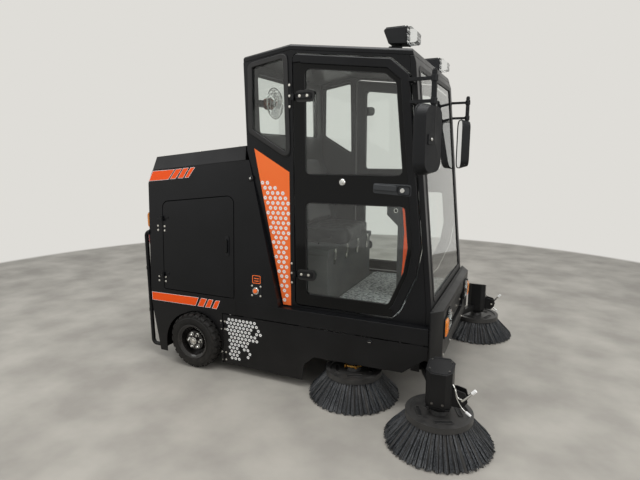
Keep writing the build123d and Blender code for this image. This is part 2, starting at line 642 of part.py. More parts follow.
def door_outline(grow):
    """The door's outline in the side view, made larger or smaller all round by grow."""
    with BuildSketch() as outline:
        Polygon(
            (DOOR_REAR_X, DOOR_LOW_Z), (DOOR_REAR_X, door_top_z(DOOR_REAR_X)), (DOOR_TOP_X, door_top_z(DOOR_TOP_X)),
            *[(screen_x(z) - DOOR_FRONT_GAP, z) for z in DOOR_FRONT_Z], *DOOR_FOOT, align=None,
        )
        fillet(outline.vertices(), 25)
        if grow:
            offset(amount=grow, mode=Mode.REPLACE)
    return outline.sketch


PILLAR_TOP_X = screen_x(PILLAR_TOP_Z) - PILLAR_DEPTH
WINDOW_FRAME = 14.0          # how far a quarter window's frame reaches to each side of its edge
WINDOW_FRAME_OUT = 6.0
door_opening = door_outline(SEAM + 1.5)
quarter_window = quarter_outline(0)
quarter_frame_outside = quarter_outline(-WINDOW_FRAME)
quarter_frame_inside = quarter_outline(WINDOW_FRAME)
cab_face = side_plane(-CAB_HALF)
DOOR_PIN_X = DOOR_REAR_X - SEAM / 2
pillar_hinges = [hinge_half(cab_face, DOOR_PIN_X, z, -34, False) for z in DOOR_HINGE_Z]
with BuildPart() as cab_side:
    with BuildSketch(side_plane(-CAB_HALF + CAB_WALL)):
        back = PILLAR_DEPTH
        Polygon(
            CAB_FOOT, CAB_WAIST, (ROOF_REAR[0], ROOF_REAR[1] - ROOF_THICK),
            (ROOF_PEAK[0], ROOF_PEAK[1] - ROOF_THICK), (PILLAR_TOP_X, roof_under_z(PILLAR_TOP_X)),
            (SCREEN_FOOT[0] - back, SCREEN_FOOT[1]), (SCREEN_FOOT[0] - back, SILL_TOP_Z), align=None,
        )
        add(door_opening, mode=Mode.SUBTRACT)
        add(quarter_window, mode=Mode.SUBTRACT)
    extrude(amount=CAB_WALL)
    with BuildSketch(side_plane(-CAB_HALF + PANE_INSET - SEAT_GAP)):
        add(quarter_frame_outside)
        add(quarter_frame_inside, mode=Mode.SUBTRACT)
    extrude(amount=PANE_INSET - SEAT_GAP + WINDOW_FRAME_OUT)
    add(pillar_hinges)
save_pair(cab_side.part, "cab_side")

# Rear wall of the cab, behind the seat
REAR_WINDOW_HALF = CAB_HALF - 118
REAR_WINDOW_Z = (1552.0, 1922.0)
with BuildPart() as cab_rear:
    with BuildSketch(side_plane(CAB_HALF - CAB_WALL)):
        Polygon(
            CAB_FOOT, CAB_WAIST, (ROOF_REAR[0], ROOF_REAR[1] - ROOF_THICK),
            (ROOF_REAR[0] + CAB_WALL, roof_under_z(ROOF_REAR[0] + CAB_WALL)),
            (CAB_WAIST[0] + CAB_WALL, CAB_WAIST[1]), (CAB_FOOT[0] + CAB_WALL, SILL_TOP_Z), align=None,
        )
    extrude(amount=2 * (CAB_HALF - CAB_WALL))
    with BuildSketch(Plane.YZ.offset(ROOF_REAR[0] - 20)):
        with Locations((0, sum(REAR_WINDOW_Z) / 2)):
            RectangleRounded(2 * REAR_WINDOW_HALF, REAR_WINDOW_Z[1] - REAR_WINDOW_Z[0], 40)
    extrude(amount=100, mode=Mode.SUBTRACT)
save(cab_rear.part, "cab_rear_wall")

# Front frame: both pillars, header and sill round the windscreen
SCREEN_HALF = CAB_HALF - 74
SCREEN_Z = (622.0, 1880.0)


def screen_slab(near, far, low, high):
    """Corners of a slab that follows the raked front, from near to far behind it."""
    return [
        (screen_x(low) - near, low), (screen_x(high) - near, high),
        (screen_x(high) - far, high), (screen_x(low) - far, low),
    ]


with BuildPart() as cab_front:
    with BuildSketch(side_plane(CAB_HALF)):
        back = PILLAR_DEPTH
        Polygon(
            (SCREEN_FOOT[0], SILL_TOP_Z), SCREEN_FOOT, HEADER_FRONT,
            (HEADER_TOP_X, roof_under_z(HEADER_TOP_X)), (PILLAR_TOP_X, roof_under_z(PILLAR_TOP_X)),
            (SCREEN_FOOT[0] - back, SCREEN_FOOT[1]), (SCREEN_FOOT[0] - back, SILL_TOP_Z), align=None,
        )
    extrude(amount=2 * CAB_HALF)
    with BuildSketch(side_plane(SCREEN_HALF)):
        Polygon(*screen_slab(-60, 90, *SCREEN_Z), align=None)
    extrude(amount=2 * SCREEN_HALF, mode=Mode.SUBTRACT)
save(cab_front.part, "cab_front_frame")

with BuildPart() as windscreen:
    with BuildSketch(side_plane(SCREEN_HALF - WINDOW_SEAM)):
        Polygon(*screen_slab(3, 3 + PANE_THICK, SCREEN_Z[0] + WINDOW_SEAM, SCREEN_Z[1] - WINDOW_SEAM), align=None)
    extrude(amount=2 * (SCREEN_HALF - WINDOW_SEAM))
save(windscreen.part, "windscreen")

# Roof: a panel bent across its peak, with bevelled sides
with BuildPart() as roof:
    with BuildSketch(side_plane(CAB_HALF)):
        Polygon(
            (ROOF_REAR[0], ROOF_REAR[1] - ROOF_THICK), ROOF_REAR, ROOF_PEAK, ROOF_FRONT,
            (HEADER_TOP_X, roof_under_z(HEADER_TOP_X)), (ROOF_PEAK[0], ROOF_PEAK[1] - ROOF_THICK), align=None,
        )
    extrude(amount=2 * CAB_HALF)
    upper_faces = [face for face in roof.faces() if face.normal_at().Z > 0.9]
    side_edges = [edge for face in upper_faces for edge in face.edges() if abs(edge.center().Y) > CAB_HALF - 1]
    chamfer(side_edges, 12)
save(roof.part, "cab_roof")

# Panes of the quarter windows and the rear window
quarter_pane = quarter_outline(WINDOW_SEAM)
with BuildPart() as panes:
    for y in (-CAB_HALF + PANE_INSET + PANE_THICK, CAB_HALF - PANE_INSET):
        with BuildSketch(side_plane(y)):
            add(quarter_pane)
        extrude(amount=PANE_THICK)
    with BuildSketch(Plane.YZ.offset(ROOF_REAR[0] + 14)):
        with Locations((0, sum(REAR_WINDOW_Z) / 2)):
            RectangleRounded(
                2 * (REAR_WINDOW_HALF - WINDOW_SEAM),
                REAR_WINDOW_Z[1] - REAR_WINDOW_Z[0] - 2 * WINDOW_SEAM, 40,
            )
    extrude(amount=PANE_THICK)
save(panes.part, "cab_panes")

# Cab doors: a frame with an upper and a lower opening, a raised band, the panes and a pull handle
DOOR_FRAME = 70.0
BELT_Z = (1155.0, 1315.0)
DOOR_THICK = 26.0
BAND_WIDE = 48.0             # raised band along the door's top, front and lower front edges
BAND_OUT = 12.0
BAND_END = (600.0, 557.0)    # rear and lower limit of the band's lower end


def door_openings(shrink):
    """The upper and lower openings of the door, made smaller all round by shrink."""
    inside = door_outline(-DOOR_FRAME - shrink)
    with BuildSketch() as openings:
        add(inside)
        with Locations((DOOR_REAR_X, sum(BELT_Z) / 2)):
            Rectangle(2 * SCREEN_FOOT[0], BELT_Z[1] - BELT_Z[0] + 2 * shrink, mode=Mode.SUBTRACT)
        fillet(openings.vertices(), 18)
    return openings.sketch


def door_band():
    """The raised band: the door's margin without its rear and lower sides."""
    outside, inside = door_outline(0), door_outline(-BAND_WIDE)
    rear, low = DOOR_REAR_X - 50, DOOR_LOW_Z - 50
    inner_x, inner_z = DOOR_REAR_X + BAND_WIDE + 1, DOOR_LOW_Z + BAND_WIDE + 1
    top = door_top_z(DOOR_REAR_X) - BAND_WIDE
    with BuildSketch(cab_face) as band:
        add(outside)
        add(inside, mode=Mode.SUBTRACT)
        Polygon(
            (rear, low), (SCREEN_FOOT[0], low), (SCREEN_FOOT[0], BAND_END[1]), BAND_END,
            (BAND_END[0], inner_z), (inner_x, inner_z), (inner_x, top), (rear, top),
            align=None, mode=Mode.SUBTRACT,
        )
    return band.sketch


door_margin = door_band()
door_face = door_outline(0)
door_windows = door_openings(0)
door_glass = door_openings(WINDOW_SEAM)
door_hinges = [hinge_half(cab_face, DOOR_PIN_X, z, 62, True) for z in DOOR_HINGE_Z]
with BuildPart() as door_frame:
    with BuildSketch(side_plane(-CAB_HALF + DOOR_THICK)):
        add(door_face)
        add(door_windows, mode=Mode.SUBTRACT)
    extrude(amount=DOOR_THICK)
    extrude(door_margin, amount=BAND_OUT)
    chamfer(door_frame.faces().filter_by(Axis.Y).sort_by(Axis.Y)[0].edges(), 4)
    block((480, -CAB_HALF - BAND_OUT, 1225), (668, -CAB_HALF + 1, 1265))
    add(door_hinges)
save_pair(door_frame.part, "cab_door")

with BuildPart() as door_pane:
    with BuildSketch(side_plane(-CAB_HALF + PANE_INSET + PANE_THICK)):
        add(door_glass)
    extrude(amount=PANE_THICK)
save_pair(door_pane.part, "door_panes")

# Hinged lower side panels
PANEL_OUTLINE = [
    (SEAM_X + SEAM, SILL_LOW_Z - SEAM), (SEAM_X + SEAM, 56), (52, 49), (64, 154), (131, 213),
    (679, 222), (BASE_X[1], 331), (BASE_X[1], SILL_LOW_Z - SEAM),
]
panel_hinges = [hinge_half(lower_face, PANEL_PIN_X, z, 30, True) for z in PANEL_HINGE_Z]
with BuildPart() as side_panel:
    with BuildSketch(side_plane(-BODY_HALF + SHEET)) as panel:
        Polygon(*PANEL_OUTLINE, align=None)
    extrude(amount=SHEET)
    add(panel_hinges)
save_pair(side_panel.part, "side_panel")

# Front brush arms: knuckle, arm and the motor box on its end
POD_Z = (BRUSH_HUB_TOP_Z + 10, 208.0, 415.0)  # foot, shoulder and top of the box
POD_SHAPE = (  # half width, corner bevel, low Z, high Z
    (50.0, 20.0, POD_Z[0], POD_Z[1]),
    (64.0, 28.0, POD_Z[1], POD_Z[2]),
)
POD_HALF = POD_SHAPE[1][0]
POD_DROP = 35.0              # fall of the box's top towards its outer side
with BuildPart() as arm:
    with BuildSketch(Plane.XY.offset(ARM_Z - ARM_SIZE / 2)):
        with BuildLine():
            Polyline((ARM_PIVOT_X, ARM_PIVOT_Y), (ARM_ELBOW_X, ARM_PIVOT_Y), FRONT_BRUSH)
            offset(amount=ARM_SIZE / 2, side=Side.BOTH, kind=Kind.INTERSECTION, mode=Mode.REPLACE)
        make_face()
    extrude(amount=ARM_SIZE)
    with Locations(Location((ARM_PIVOT_X, ARM_PIVOT_Y, ARM_Z), (90, 0, 0))):
        Cylinder(24, EAR_Y[1] - EAR_Y[0] - 17)
        Cylinder(SHAFT_R + RUN_FIT, 200, mode=Mode.SUBTRACT)
    for half, corner, low, high in POD_SHAPE:
        with BuildSketch(Plane.XY.offset(low)):
            with Locations(FRONT_BRUSH):
                pod = Rectangle(2 * half, 2 * half)
            chamfer(pod.vertices(), corner)
        extrude(amount=high - low)
    with BuildSketch(front_plane(FRONT_BRUSH[0] - POD_HALF - 1)):
        Polygon(
            (FRONT_BRUSH[1] + POD_HALF, POD_Z[2]), (FRONT_BRUSH[1] + POD_HALF, POD_Z[2] + 1),
            (FRONT_BRUSH[1] - POD_HALF - 1, POD_Z[2] + 1), (FRONT_BRUSH[1] - POD_HALF - 1, POD_Z[2] - POD_DROP),
            align=None,
        )
    extrude(amount=2 * POD_HALF + 2, mode=Mode.SUBTRACT)
    with Locations((FRONT_BRUSH[0], FRONT_BRUSH[1], (BRUSH_DISC_LOW_Z + POD_Z[0]) / 2 - 6)):
        Cylinder(SHAFT_R, POD_Z[0] - BRUSH_DISC_LOW_Z + 14)
save_pair(arm.part, "front_arm")

# Seat box, seat and console inside the cab
SEAT_BOX_HALF = CAB_HALF - 136
SEAT_BOX_Z = 848.0
SEAT_HALF = 235.0
with BuildPart() as seat_box:
    with BuildSketch(side_plane(SEAT_BOX_HALF)):
        Polygon((-72, SILL_TOP_Z), (145, SILL_TOP_Z), (145, SEAT_BOX_Z), (-152, SEAT_BOX_Z), align=None)
    extrude(amount=2 * SEAT_BOX_HALF)
    block((-140, -SEAT_BOX_HALF - 8, SEAT_BOX_Z - 40), (153, SEAT_BOX_HALF + 8, SEAT_BOX_Z))
save(seat_box.part, "seat_box")

with BuildPart() as seat:
    block((-150, -SEAT_HALF, SEAT_BOX_Z + SEAT_GAP), (215, SEAT_HALF, SEAT_BOX_Z + 110))
    fillet(seat.edges().filter_by(Axis.Z), 40)
    with BuildSketch(side_plane(SEAT_HALF - 10)):
        Polygon((-178, 950), (-80, 950), (-190, 1420), (-288, 1420), align=None)
    extrude(amount=2 * SEAT_HALF - 20)
save(seat.part, "seat")

WHEEL_TILT = radians(28)
STEER_CENTRE = (410.0, 0.0, 1235.0)
COLUMN_R = 22.0
COLUMN_LONG = 112.0
steer = Plane(
    origin=STEER_CENTRE, x_dir=(cos(WHEEL_TILT), 0, sin(WHEEL_TILT)), z_dir=(-sin(WHEEL_TILT), 0, cos(WHEEL_TILT)),
)
with BuildPart() as console:
    with BuildSketch(side_plane(150)):
        Polygon((450, SILL_TOP_Z), (600, SILL_TOP_Z), (588, 1120), (440, 1150), align=None)
    extrude(amount=300)
    with BuildSketch(steer):
        Circle(COLUMN_R + SEAT_GAP)
    extrude(amount=-COLUMN_LONG - SEAT_GAP, mode=Mode.SUBTRACT)
save(console.part, "console")

with BuildPart() as steering_wheel:
    with BuildSketch(Plane(origin=steer.origin, x_dir=steer.x_dir, z_dir=(0, -1, 0))):
        with Locations((180, 0)):
            RegularPolygon(14, 8)
    revolve(axis=Axis(STEER_CENTRE, tuple(steer.z_dir)))
    with BuildSketch(steer.offset(-8)):
        Circle(34)
        with PolarLocations(0, 3):
            with Locations((88, 0)):
                Rectangle(176, 26)
    extrude(amount=12)
    with BuildSketch(steer.offset(-COLUMN_LONG)):
        Circle(COLUMN_R)
    extrude(amount=COLUMN_LONG - 5)
save(steering_wheel.part, "steering_wheel")

# Cab fan on the rear wall, beside its window
FAN_WALL_X = ROOF_REAR[0] + CAB_WALL + 4.6
FAN_Y = REAR_WINDOW_HALF - 30
with BuildPart() as fan:
    with Locations(Location((-262, -FAN_Y, 1742), (0, 90, 0))):
        Cylinder(34, 56)
        with Locations((0, 0, 44)):
            Cylinder(95, 34)
    block((FAN_WALL_X, -FAN_Y - 60, 1722), (-270, -FAN_Y + 10, 1762))
save(fan.part, "cab_fan")

# Mirrors: bracket rods, arm and head
MIRROR_AT = (785.0, -CAB_HALF - 80, 1503.0)
MIRROR_TURN = radians(20)
mirror_face = Plane(
    origin=MIRROR_AT, x_dir=(sin(MIRROR_TURN), cos(MIRROR_TURN), 0),
    z_dir=(cos(MIRROR_TURN), -sin(MIRROR_TURN), 0),
)
with BuildPart() as door_mirror:
    with BuildSketch(mirror_face.offset(-28)):
        RectangleRounded(180, 352, 40)
    extrude(amount=56, taper=16)
    block((790, MIRROR_AT[1] - 4, 1500), (814, MIRROR_AT[1] + 20, 1834))
    for z in (1690, 1798):
        rod_x = screen_x(z) - PILLAR_DEPTH + 2
        block((rod_x, MIRROR_AT[1] + 8, z - 8), (rod_x + 22, -CAB_HALF, z + 8))
        block((rod_x, MIRROR_AT[1] - 2, z - 8), (800, MIRROR_AT[1] + 16, z + 8))
save_pair(door_mirror.part, "mirror")

# Work lamps on the roof and lamps at the rear
LAMP_X = 500.0
LAMP_Y = CAB_HALF - 93
LAMP_HALF = 45.0
LAMP_Z = (1996.0, 2083.0)
LAMP_BODY = [  # the housing's side view, whose back leans in to a narrow foot
    (LAMP_X, LAMP_Z[1] - 10), (LAMP_X + 10, LAMP_Z[1]), (LAMP_X + 125, LAMP_Z[1]),
    (LAMP_X + 125, LAMP_Z[0]), (LAMP_X + 28, LAMP_Z[0] + 8),
]
LAMP_LENS = [
    (LAMP_X + 125, LAMP_Z[1] - 4), (LAMP_X + 148, LAMP_Z[1] - 4), (LAMP_X + 180, LAMP_Z[1] - 32),
    (LAMP_X + 180, LAMP_Z[0] + 10), (LAMP_X + 170, LAMP_Z[0] + 4), (LAMP_X + 125, LAMP_Z[0] + 4),
]
with BuildPart() as roof_lamps:
    for side in (-1, 1):
        with BuildSketch(side_plane(side * LAMP_Y + LAMP_HALF)):
            Polygon(*LAMP_BODY, align=None)
        extrude(amount=2 * LAMP_HALF)
        with BuildSketch(side_plane(side * LAMP_Y + 15)):
            Polygon(
                (LAMP_X + 20, roof_top_z(LAMP_X + 20)), (LAMP_X + 90, roof_top_z(LAMP_X + 90)),
                (LAMP_X + 90, LAMP_Z[0] + 2), (LAMP_X + 20, LAMP_Z[0] + 2), align=None,
            )
        extrude(amount=30)
save(roof_lamps.part, "roof_lamps")
with BuildPart() as roof_lenses:
    for side in (-1, 1):
        with BuildSketch(side_plane(side * LAMP_Y + LAMP_HALF)):
            Polygon(*LAMP_LENS, align=None)
        extrude(amount=2 * LAMP_HALF)
save(roof_lenses.part, "roof_lamp_lenses")
for name, low, high in (("rear_lamps_amber", 925, 1035), ("rear_lamps_red", 800, 910)):
    with BuildPart() as rear_lamp:
        block_pair((REAR_X - 34, HOOD_HALF - 56, low), (REAR_X, HOOD_HALF - 11, high))
    save(rear_lamp.part, name)

# Guard tubes down the rear corners
GUARD_R = 14.0
GUARD_Y = HOOD_HALF + 6
GUARD_Z = (74.0, 900.0)
GUARD_BEND = 32.0
GUARD_X = REAR_GUARD_X + GUARD_R
GUARD_ENDS = (  # front end of the lower and of the upper run, its Z, and which way the bend turns
    (-1090.0, GUARD_Z[0], 1),
    (REAR_X, GUARD_Z[1], -1),
)
with BuildPart() as guards:
    for y in (-GUARD_Y, GUARD_Y):
        with Locations((GUARD_X, y, sum(GUARD_Z) / 2)):
            Cylinder(GUARD_R, GUARD_Z[1] - GUARD_Z[0] - 2 * GUARD_BEND)
        for front_x, z, up in GUARD_ENDS:
            bend_x = GUARD_X + GUARD_BEND
            with Locations(Plane(origin=(bend_x, y, z + up * GUARD_BEND), x_dir=(-1, 0, 0), z_dir=(0, -up, 0))):
                Torus(GUARD_BEND, GUARD_R, major_angle=90, align=None)
            with Locations(Location(((bend_x + front_x) / 2, y, z), (0, 90, 0))):
                Cylinder(GUARD_R, front_x - bend_x)
save(guards.part, "rear_guards")
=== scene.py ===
"""Looks of the compact road sweeper: paint, glass, rubber, bristles, trim and small fittings.

Metres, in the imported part's own frame: X forward, Y to the left, Z up. Shapes are drawn in
millimetres on named faces of the machine, and MM turns them to metres.
"""

import json
import random
from math import atan2, copysign, cos, hypot, pi, radians, sin, tan

import bmesh
import bpy
from mathutils import Matrix, Vector

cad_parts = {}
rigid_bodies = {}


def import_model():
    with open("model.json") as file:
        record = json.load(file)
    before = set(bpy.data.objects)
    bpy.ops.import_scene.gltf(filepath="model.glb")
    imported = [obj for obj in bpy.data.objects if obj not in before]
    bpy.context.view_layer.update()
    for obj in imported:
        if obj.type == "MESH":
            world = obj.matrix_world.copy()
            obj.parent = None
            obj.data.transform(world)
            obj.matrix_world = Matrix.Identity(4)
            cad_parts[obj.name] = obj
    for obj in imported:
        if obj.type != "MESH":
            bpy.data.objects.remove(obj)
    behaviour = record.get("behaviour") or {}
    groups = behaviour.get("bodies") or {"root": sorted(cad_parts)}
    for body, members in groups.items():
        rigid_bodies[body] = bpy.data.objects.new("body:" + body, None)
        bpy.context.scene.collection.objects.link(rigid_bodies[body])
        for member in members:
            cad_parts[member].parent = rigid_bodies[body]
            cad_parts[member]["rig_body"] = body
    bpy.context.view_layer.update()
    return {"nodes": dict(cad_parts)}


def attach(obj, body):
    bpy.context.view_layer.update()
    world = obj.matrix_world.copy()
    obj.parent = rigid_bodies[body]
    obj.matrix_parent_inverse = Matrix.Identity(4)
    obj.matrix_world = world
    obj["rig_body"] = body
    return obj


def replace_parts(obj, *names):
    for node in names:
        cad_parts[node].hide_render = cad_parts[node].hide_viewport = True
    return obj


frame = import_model()
scene = bpy.context.scene
MM = 0.001


# Camera: the place, turn and lens that fit the straight edges in the photograph
CAMERA_AT = (1.2788, -3.0331, 1.4317)
CAMERA_YAW, CAMERA_PITCH, CAMERA_ROLL = radians(24.39), radians(-10.33), radians(-0.15)
CAMERA_LENS = 26.41          # millimetres, on a sensor 36 mm wide

camera = bpy.data.objects.new("camera", bpy.data.cameras.new("camera"))
camera.data.lens, camera.data.sensor_width = CAMERA_LENS, 36.0
camera.matrix_world = (
    Matrix.Translation(CAMERA_AT) @ Matrix.Rotation(CAMERA_YAW, 4, "Z")
    @ Matrix.Rotation(pi / 2 + CAMERA_PITCH, 4, "X") @ Matrix.Rotation(CAMERA_ROLL, 4, "Z")
)
scene.collection.objects.link(camera)
scene.camera = camera
scene.view_settings.view_transform = "Standard"


def colour(code):
    """A hex sRGB colour as linear red, green, blue and alpha."""
    parts = [int(code[i:i + 2], 16) / 255 for i in (0, 2, 4)]
    return tuple(c / 12.92 if c <= 0.04045 else ((c + 0.055) / 1.055) ** 2.4 for c in parts) + (1.0,)


def add(tree, kind, sockets=None, **settings):
    """Adds a node to a tree: its settings, and for each socket a value or what feeds it.

    A socket is fed by another node's output, by a node's first output, or by a list of nodes.
    """
    made = tree.nodes.new(kind)
    for name, value in settings.items():
        setattr(made, name, value)
    for key, value in (sockets or {}).items():
        socket = made.inputs[key] if isinstance(key, int) else next(
            s for s in made.inputs if key in (s.identifier, s.name) and s.enabled
        )
        for source in value if isinstance(value, list) else [value]:
            if isinstance(source, bpy.types.Node):
                source = source.outputs[0]
            if isinstance(source, bpy.types.NodeSocket):
                tree.links.new(source, socket)
            else:
                socket.default_value = source
    return made


DUST, DUST_TOP = "8D8478", 0.55       # colour of road dust, and the height in metres where it ends
WAVES = 0.31                          # wave texture scale that draws one rib in a unit of length
SATIN = {"Specular IOR Level": 0.22}  # dull dark coats and plastics give back little of the hall


def blank(name):
    """A material with an empty node tree."""
    made = bpy.data.materials.new(name)
    made.use_nodes = True
    made.node_tree.nodes.clear()
    return made, made.node_tree


def surface(name, base, rough, grain, relief, cells=False, second=None, share=0.5, patch=70.0,
            swing=0.06, dust=0.0, **shader):
    """A finish with grain in relief, patches of a second colour, uneven gloss and settled dust.

    grain and patch are sizes in millimetres, and relief is the height of the grain in them.
    """
    made, tree = blank(name)
    where = add(tree, "ShaderNodeTexCoord").outputs["Object"]
    patches = add(tree, "ShaderNodeTexNoise", {"Vector": where, "Scale": 1 / (patch * MM), "Detail": 4.0})
    fine = add(tree, "ShaderNodeTexVoronoi" if cells else "ShaderNodeTexNoise", {
        "Vector": where, "Scale": 1 / (grain * MM),
    })
    gloss = add(tree, "ShaderNodeMapRange", {
        "Value": patches, "From Min": 0.3, "From Max": 0.7, "To Min": rough - swing, "To Max": rough + swing,
    })
    bump = add(tree, "ShaderNodeBump", {"Height": fine, "Distance": relief * MM, "Strength": 0.6})
    mottle = add(tree, "ShaderNodeMapRange", {
        "Value": patches, "From Min": 0.35, "From Max": 0.65, "To Min": 0.0, "To Max": share,
    })
    mixed = add(tree, "ShaderNodeMix", {
        "Factor_Float": mottle, "A_Color": colour(base), "B_Color": colour(second or base),
    }, data_type="RGBA").outputs[2]
    if dust:
        up = add(tree, "ShaderNodeSeparateXYZ", {"Vector": where}).outputs["Z"]
        low = add(tree, "ShaderNodeMapRange", {
            "Value": up, "From Min": DUST_TOP, "From Max": 0.0, "To Min": 0.0, "To Max": 1.0,
        })
        settled = add(tree, "ShaderNodeMath", {0: low, 1: patches}, operation="MULTIPLY")
        mixed = add(tree, "ShaderNodeMix", {
            "Factor_Float": add(tree, "ShaderNodeMath", {0: settled, 1: dust}, operation="MULTIPLY"),
            "A_Color": mixed, "B_Color": colour(DUST),
        }, data_type="RGBA").outputs[2]
    add(tree, "ShaderNodeOutputMaterial", {"Surface": add(tree, "ShaderNodeBsdfPrincipled", {
        "Base Color": mixed, "Roughness": gloss, "Normal": bump, **shader,
    })})
    return made


def glazing(name, tint, rough=0.0, relief=0.0, ribs=3.0, **shader):
    """Clear or tinted glass or lens plastic, which lets the light of lamps through."""
    made, tree = blank(name)
    sockets = {"Base Color": colour(tint), "Roughness": rough, "Transmission Weight": 1.0, **shader}
    if relief:
        flutes = add(tree, "ShaderNodeTexWave", {
            "Vector": add(tree, "ShaderNodeTexCoord").outputs["Object"], "Scale": WAVES / (ribs * MM),
            "Distortion": 0.4,
        }, bands_direction="Y").outputs["Fac"]
        sockets["Normal"] = add(tree, "ShaderNodeBump", {
            "Height": flutes, "Distance": relief * MM, "Strength": 0.5,
        })
    glass = add(tree, "ShaderNodeBsdfPrincipled", sockets)
    clear = add(tree, "ShaderNodeBsdfTransparent", {"Color": colour(tint)})
    lamp = add(tree, "ShaderNodeLightPath").outputs["Is Shadow Ray"]
    add(tree, "ShaderNodeOutputMaterial", {
        "Surface": add(tree, "ShaderNodeMixShader", {0: lamp, 1: glass, 2: clear}),
    })
    return made


# Finishes, each named for the real one
# Baked polyester powder on sheet steel: even satin with a faint orange peel about 2 mm across
body_black = surface(
    "satin_black_powder_coat", "0E0F11", 0.34, 2.2, 0.035, second="131417", patch=220, dust=0.06, **SATIN,
)
# The same coat on the rolled and welded frame, duller and greyer
frame_grey = surface("dark_grey_frame_enamel", "1B1C1E", 0.46, 1.4, 0.06, second="232427", patch=90, dust=0.12, **SATIN)
# Ceramic frit fired on the edge of the glass: deep black and very smooth
frit_black = surface("fired_black_frit", "060708", 0.08, 30.0, 0.004, second="090A0B", patch=160, swing=0.02, **SATIN)
# Cast vinyl film in orange, thin enough to follow the sheet
orange_film = surface(
    "orange_cast_vinyl_film", "FF5A12", 0.34, 1.8, 0.02, second="F85610", patch=150, swing=0.03, **SATIN,
)
# The larger upright panel looks a little paler, as in the photograph
orange_panel = surface("orange_vinyl_panel", "FF7A3A", 0.36, 1.8, 0.02, second="FC7434", patch=150, swing=0.03, **SATIN)
white_film = surface("white_cast_vinyl_film", "F4F4F2", 0.38, 1.8, 0.02, second="ECECE8", patch=80, swing=0.03, **SATIN)
# Carbon-black tyre rubber, with road dust in its fine crazing
tyre_rubber = surface(
    "carbon_black_tyre_rubber", "111213", 0.62, 1.1, 0.12, second="191A1B", patch=26, dust=0.14, **SATIN,
)
seal_rubber = surface("extruded_seal_rubber", "0B0B0C", 0.55, 0.9, 0.03, second="101011", patch=40)
# Gloss stove enamel on pressed steel rims
rim_enamel = surface(
    "gloss_black_rim_enamel", "0E0E10", 0.16, 1.8, 0.02, second="131315", patch=50, swing=0.04, dust=0.1,
)
# Bright chromium plate on the nuts, and duller zinc on the screws
chrome = surface(
    "bright_chromium_plate", "CFCFCC", 0.10, 6.0, 0.004, second="B8B7B2", patch=20, swing=0.04, Metallic=1.0,
)
zinc = surface("bright_zinc_plate", "E2E0DA", 0.34, 0.8, 0.02, second="C4C2BA", patch=9, Metallic=1.0)
brass = surface("machined_brass", "D9A85A", 0.28, 0.7, 0.02, second="B98C46", patch=9, Metallic=1.0)
steel = surface("oiled_bare_steel", "6A6865", 0.38, 0.9, 0.03, second="4A4744", patch=30, Metallic=1.0)
# Drawn nylon monofil, black; its paler grey patches along the bristles are painted highlight, standing in for light on
# their upper sides
bristle_nylon = surface(
    "black_nylon_monofil", "1A1C1E", 0.34, 1.0, 0.02, second="55585C", share=0.8, patch=7, swing=0.08,
)
disc_plastic = surface(
    "moulded_polypropylene_disc", "222324", 0.40, 1.3, 0.05, cells=True, second="2E2F30", patch=40, dust=0.14,
)
# Injection-moulded ABS with a spark-eroded grain of about 1 mm
grained_plastic = surface(
    "spark_grained_abs", "17181A", 0.52, 1.0, 0.07, cells=True, second="1D1E20", patch=60, **SATIN,
)
lining_grey = surface("moulded_cab_lining", "4A4C4D", 0.60, 1.2, 0.03, cells=True, second="434546", patch=120)
console_grey = surface("dark_grey_console_abs", "2B2E31", 0.50, 1.0, 0.03, cells=True, second="33363A", patch=80)
# Calendered vinyl over foam, embossed like leather with creases 1 to 2 mm apart
seat_vinyl = surface(
    "embossed_seat_vinyl", "141416", 0.46, 1.7, 0.16, cells=True, second="1C1C1E", patch=35, swing=0.08,
)
battery_case = surface("moulded_battery_case", "33363A", 0.55, 1.2, 0.06, cells=True, second="3A3D41", patch=60)
# Speckled sheet vinyl; its chips are drawn 15 mm wide, coarser than real, so that they show
speckled_mat = surface("speckled_floor_vinyl", "5C5E60", 0.66, 2.5, 0.10, second="D2D4D4", share=1.0, patch=15.0)
mirror_silver = surface("silvered_mirror_glass", "E2E4E5", 0.02, 60.0, 0.0005, patch=200, swing=0.005, Metallic=1.0)
reflector = surface("vacuum_aluminised_reflector", "D8D9DA", 0.08, 5.0, 0.02, patch=30, swing=0.03, Metallic=1.0)
copper_motor = surface("varnished_fan_motor", "8C4A22", 0.34, 0.8, 0.05, second="6B3718", patch=12, Metallic=0.6)
# Laminated safety glass with a light green-grey tint
safety_glass = glazing("tinted_safety_glass", "F1F5F3", IOR=1.5)
clear_lens = glazing("clear_polycarbonate_lens", "F4F6F6", 0.02, 0.35, 5.0, IOR=1.58)
# Dyed acrylic also scatters some light, which makes its colour show over the black sheet behind it
DYED = {"IOR": 1.49, "Transmission Weight": 0.55}
amber_lens = glazing("amber_acrylic_lens", "FFB038", 0.06, 0.35, 4.0, **DYED)
red_lens = glazing("red_acrylic_lens", "D42A34", 0.06, 0.35, 4.0, **DYED)

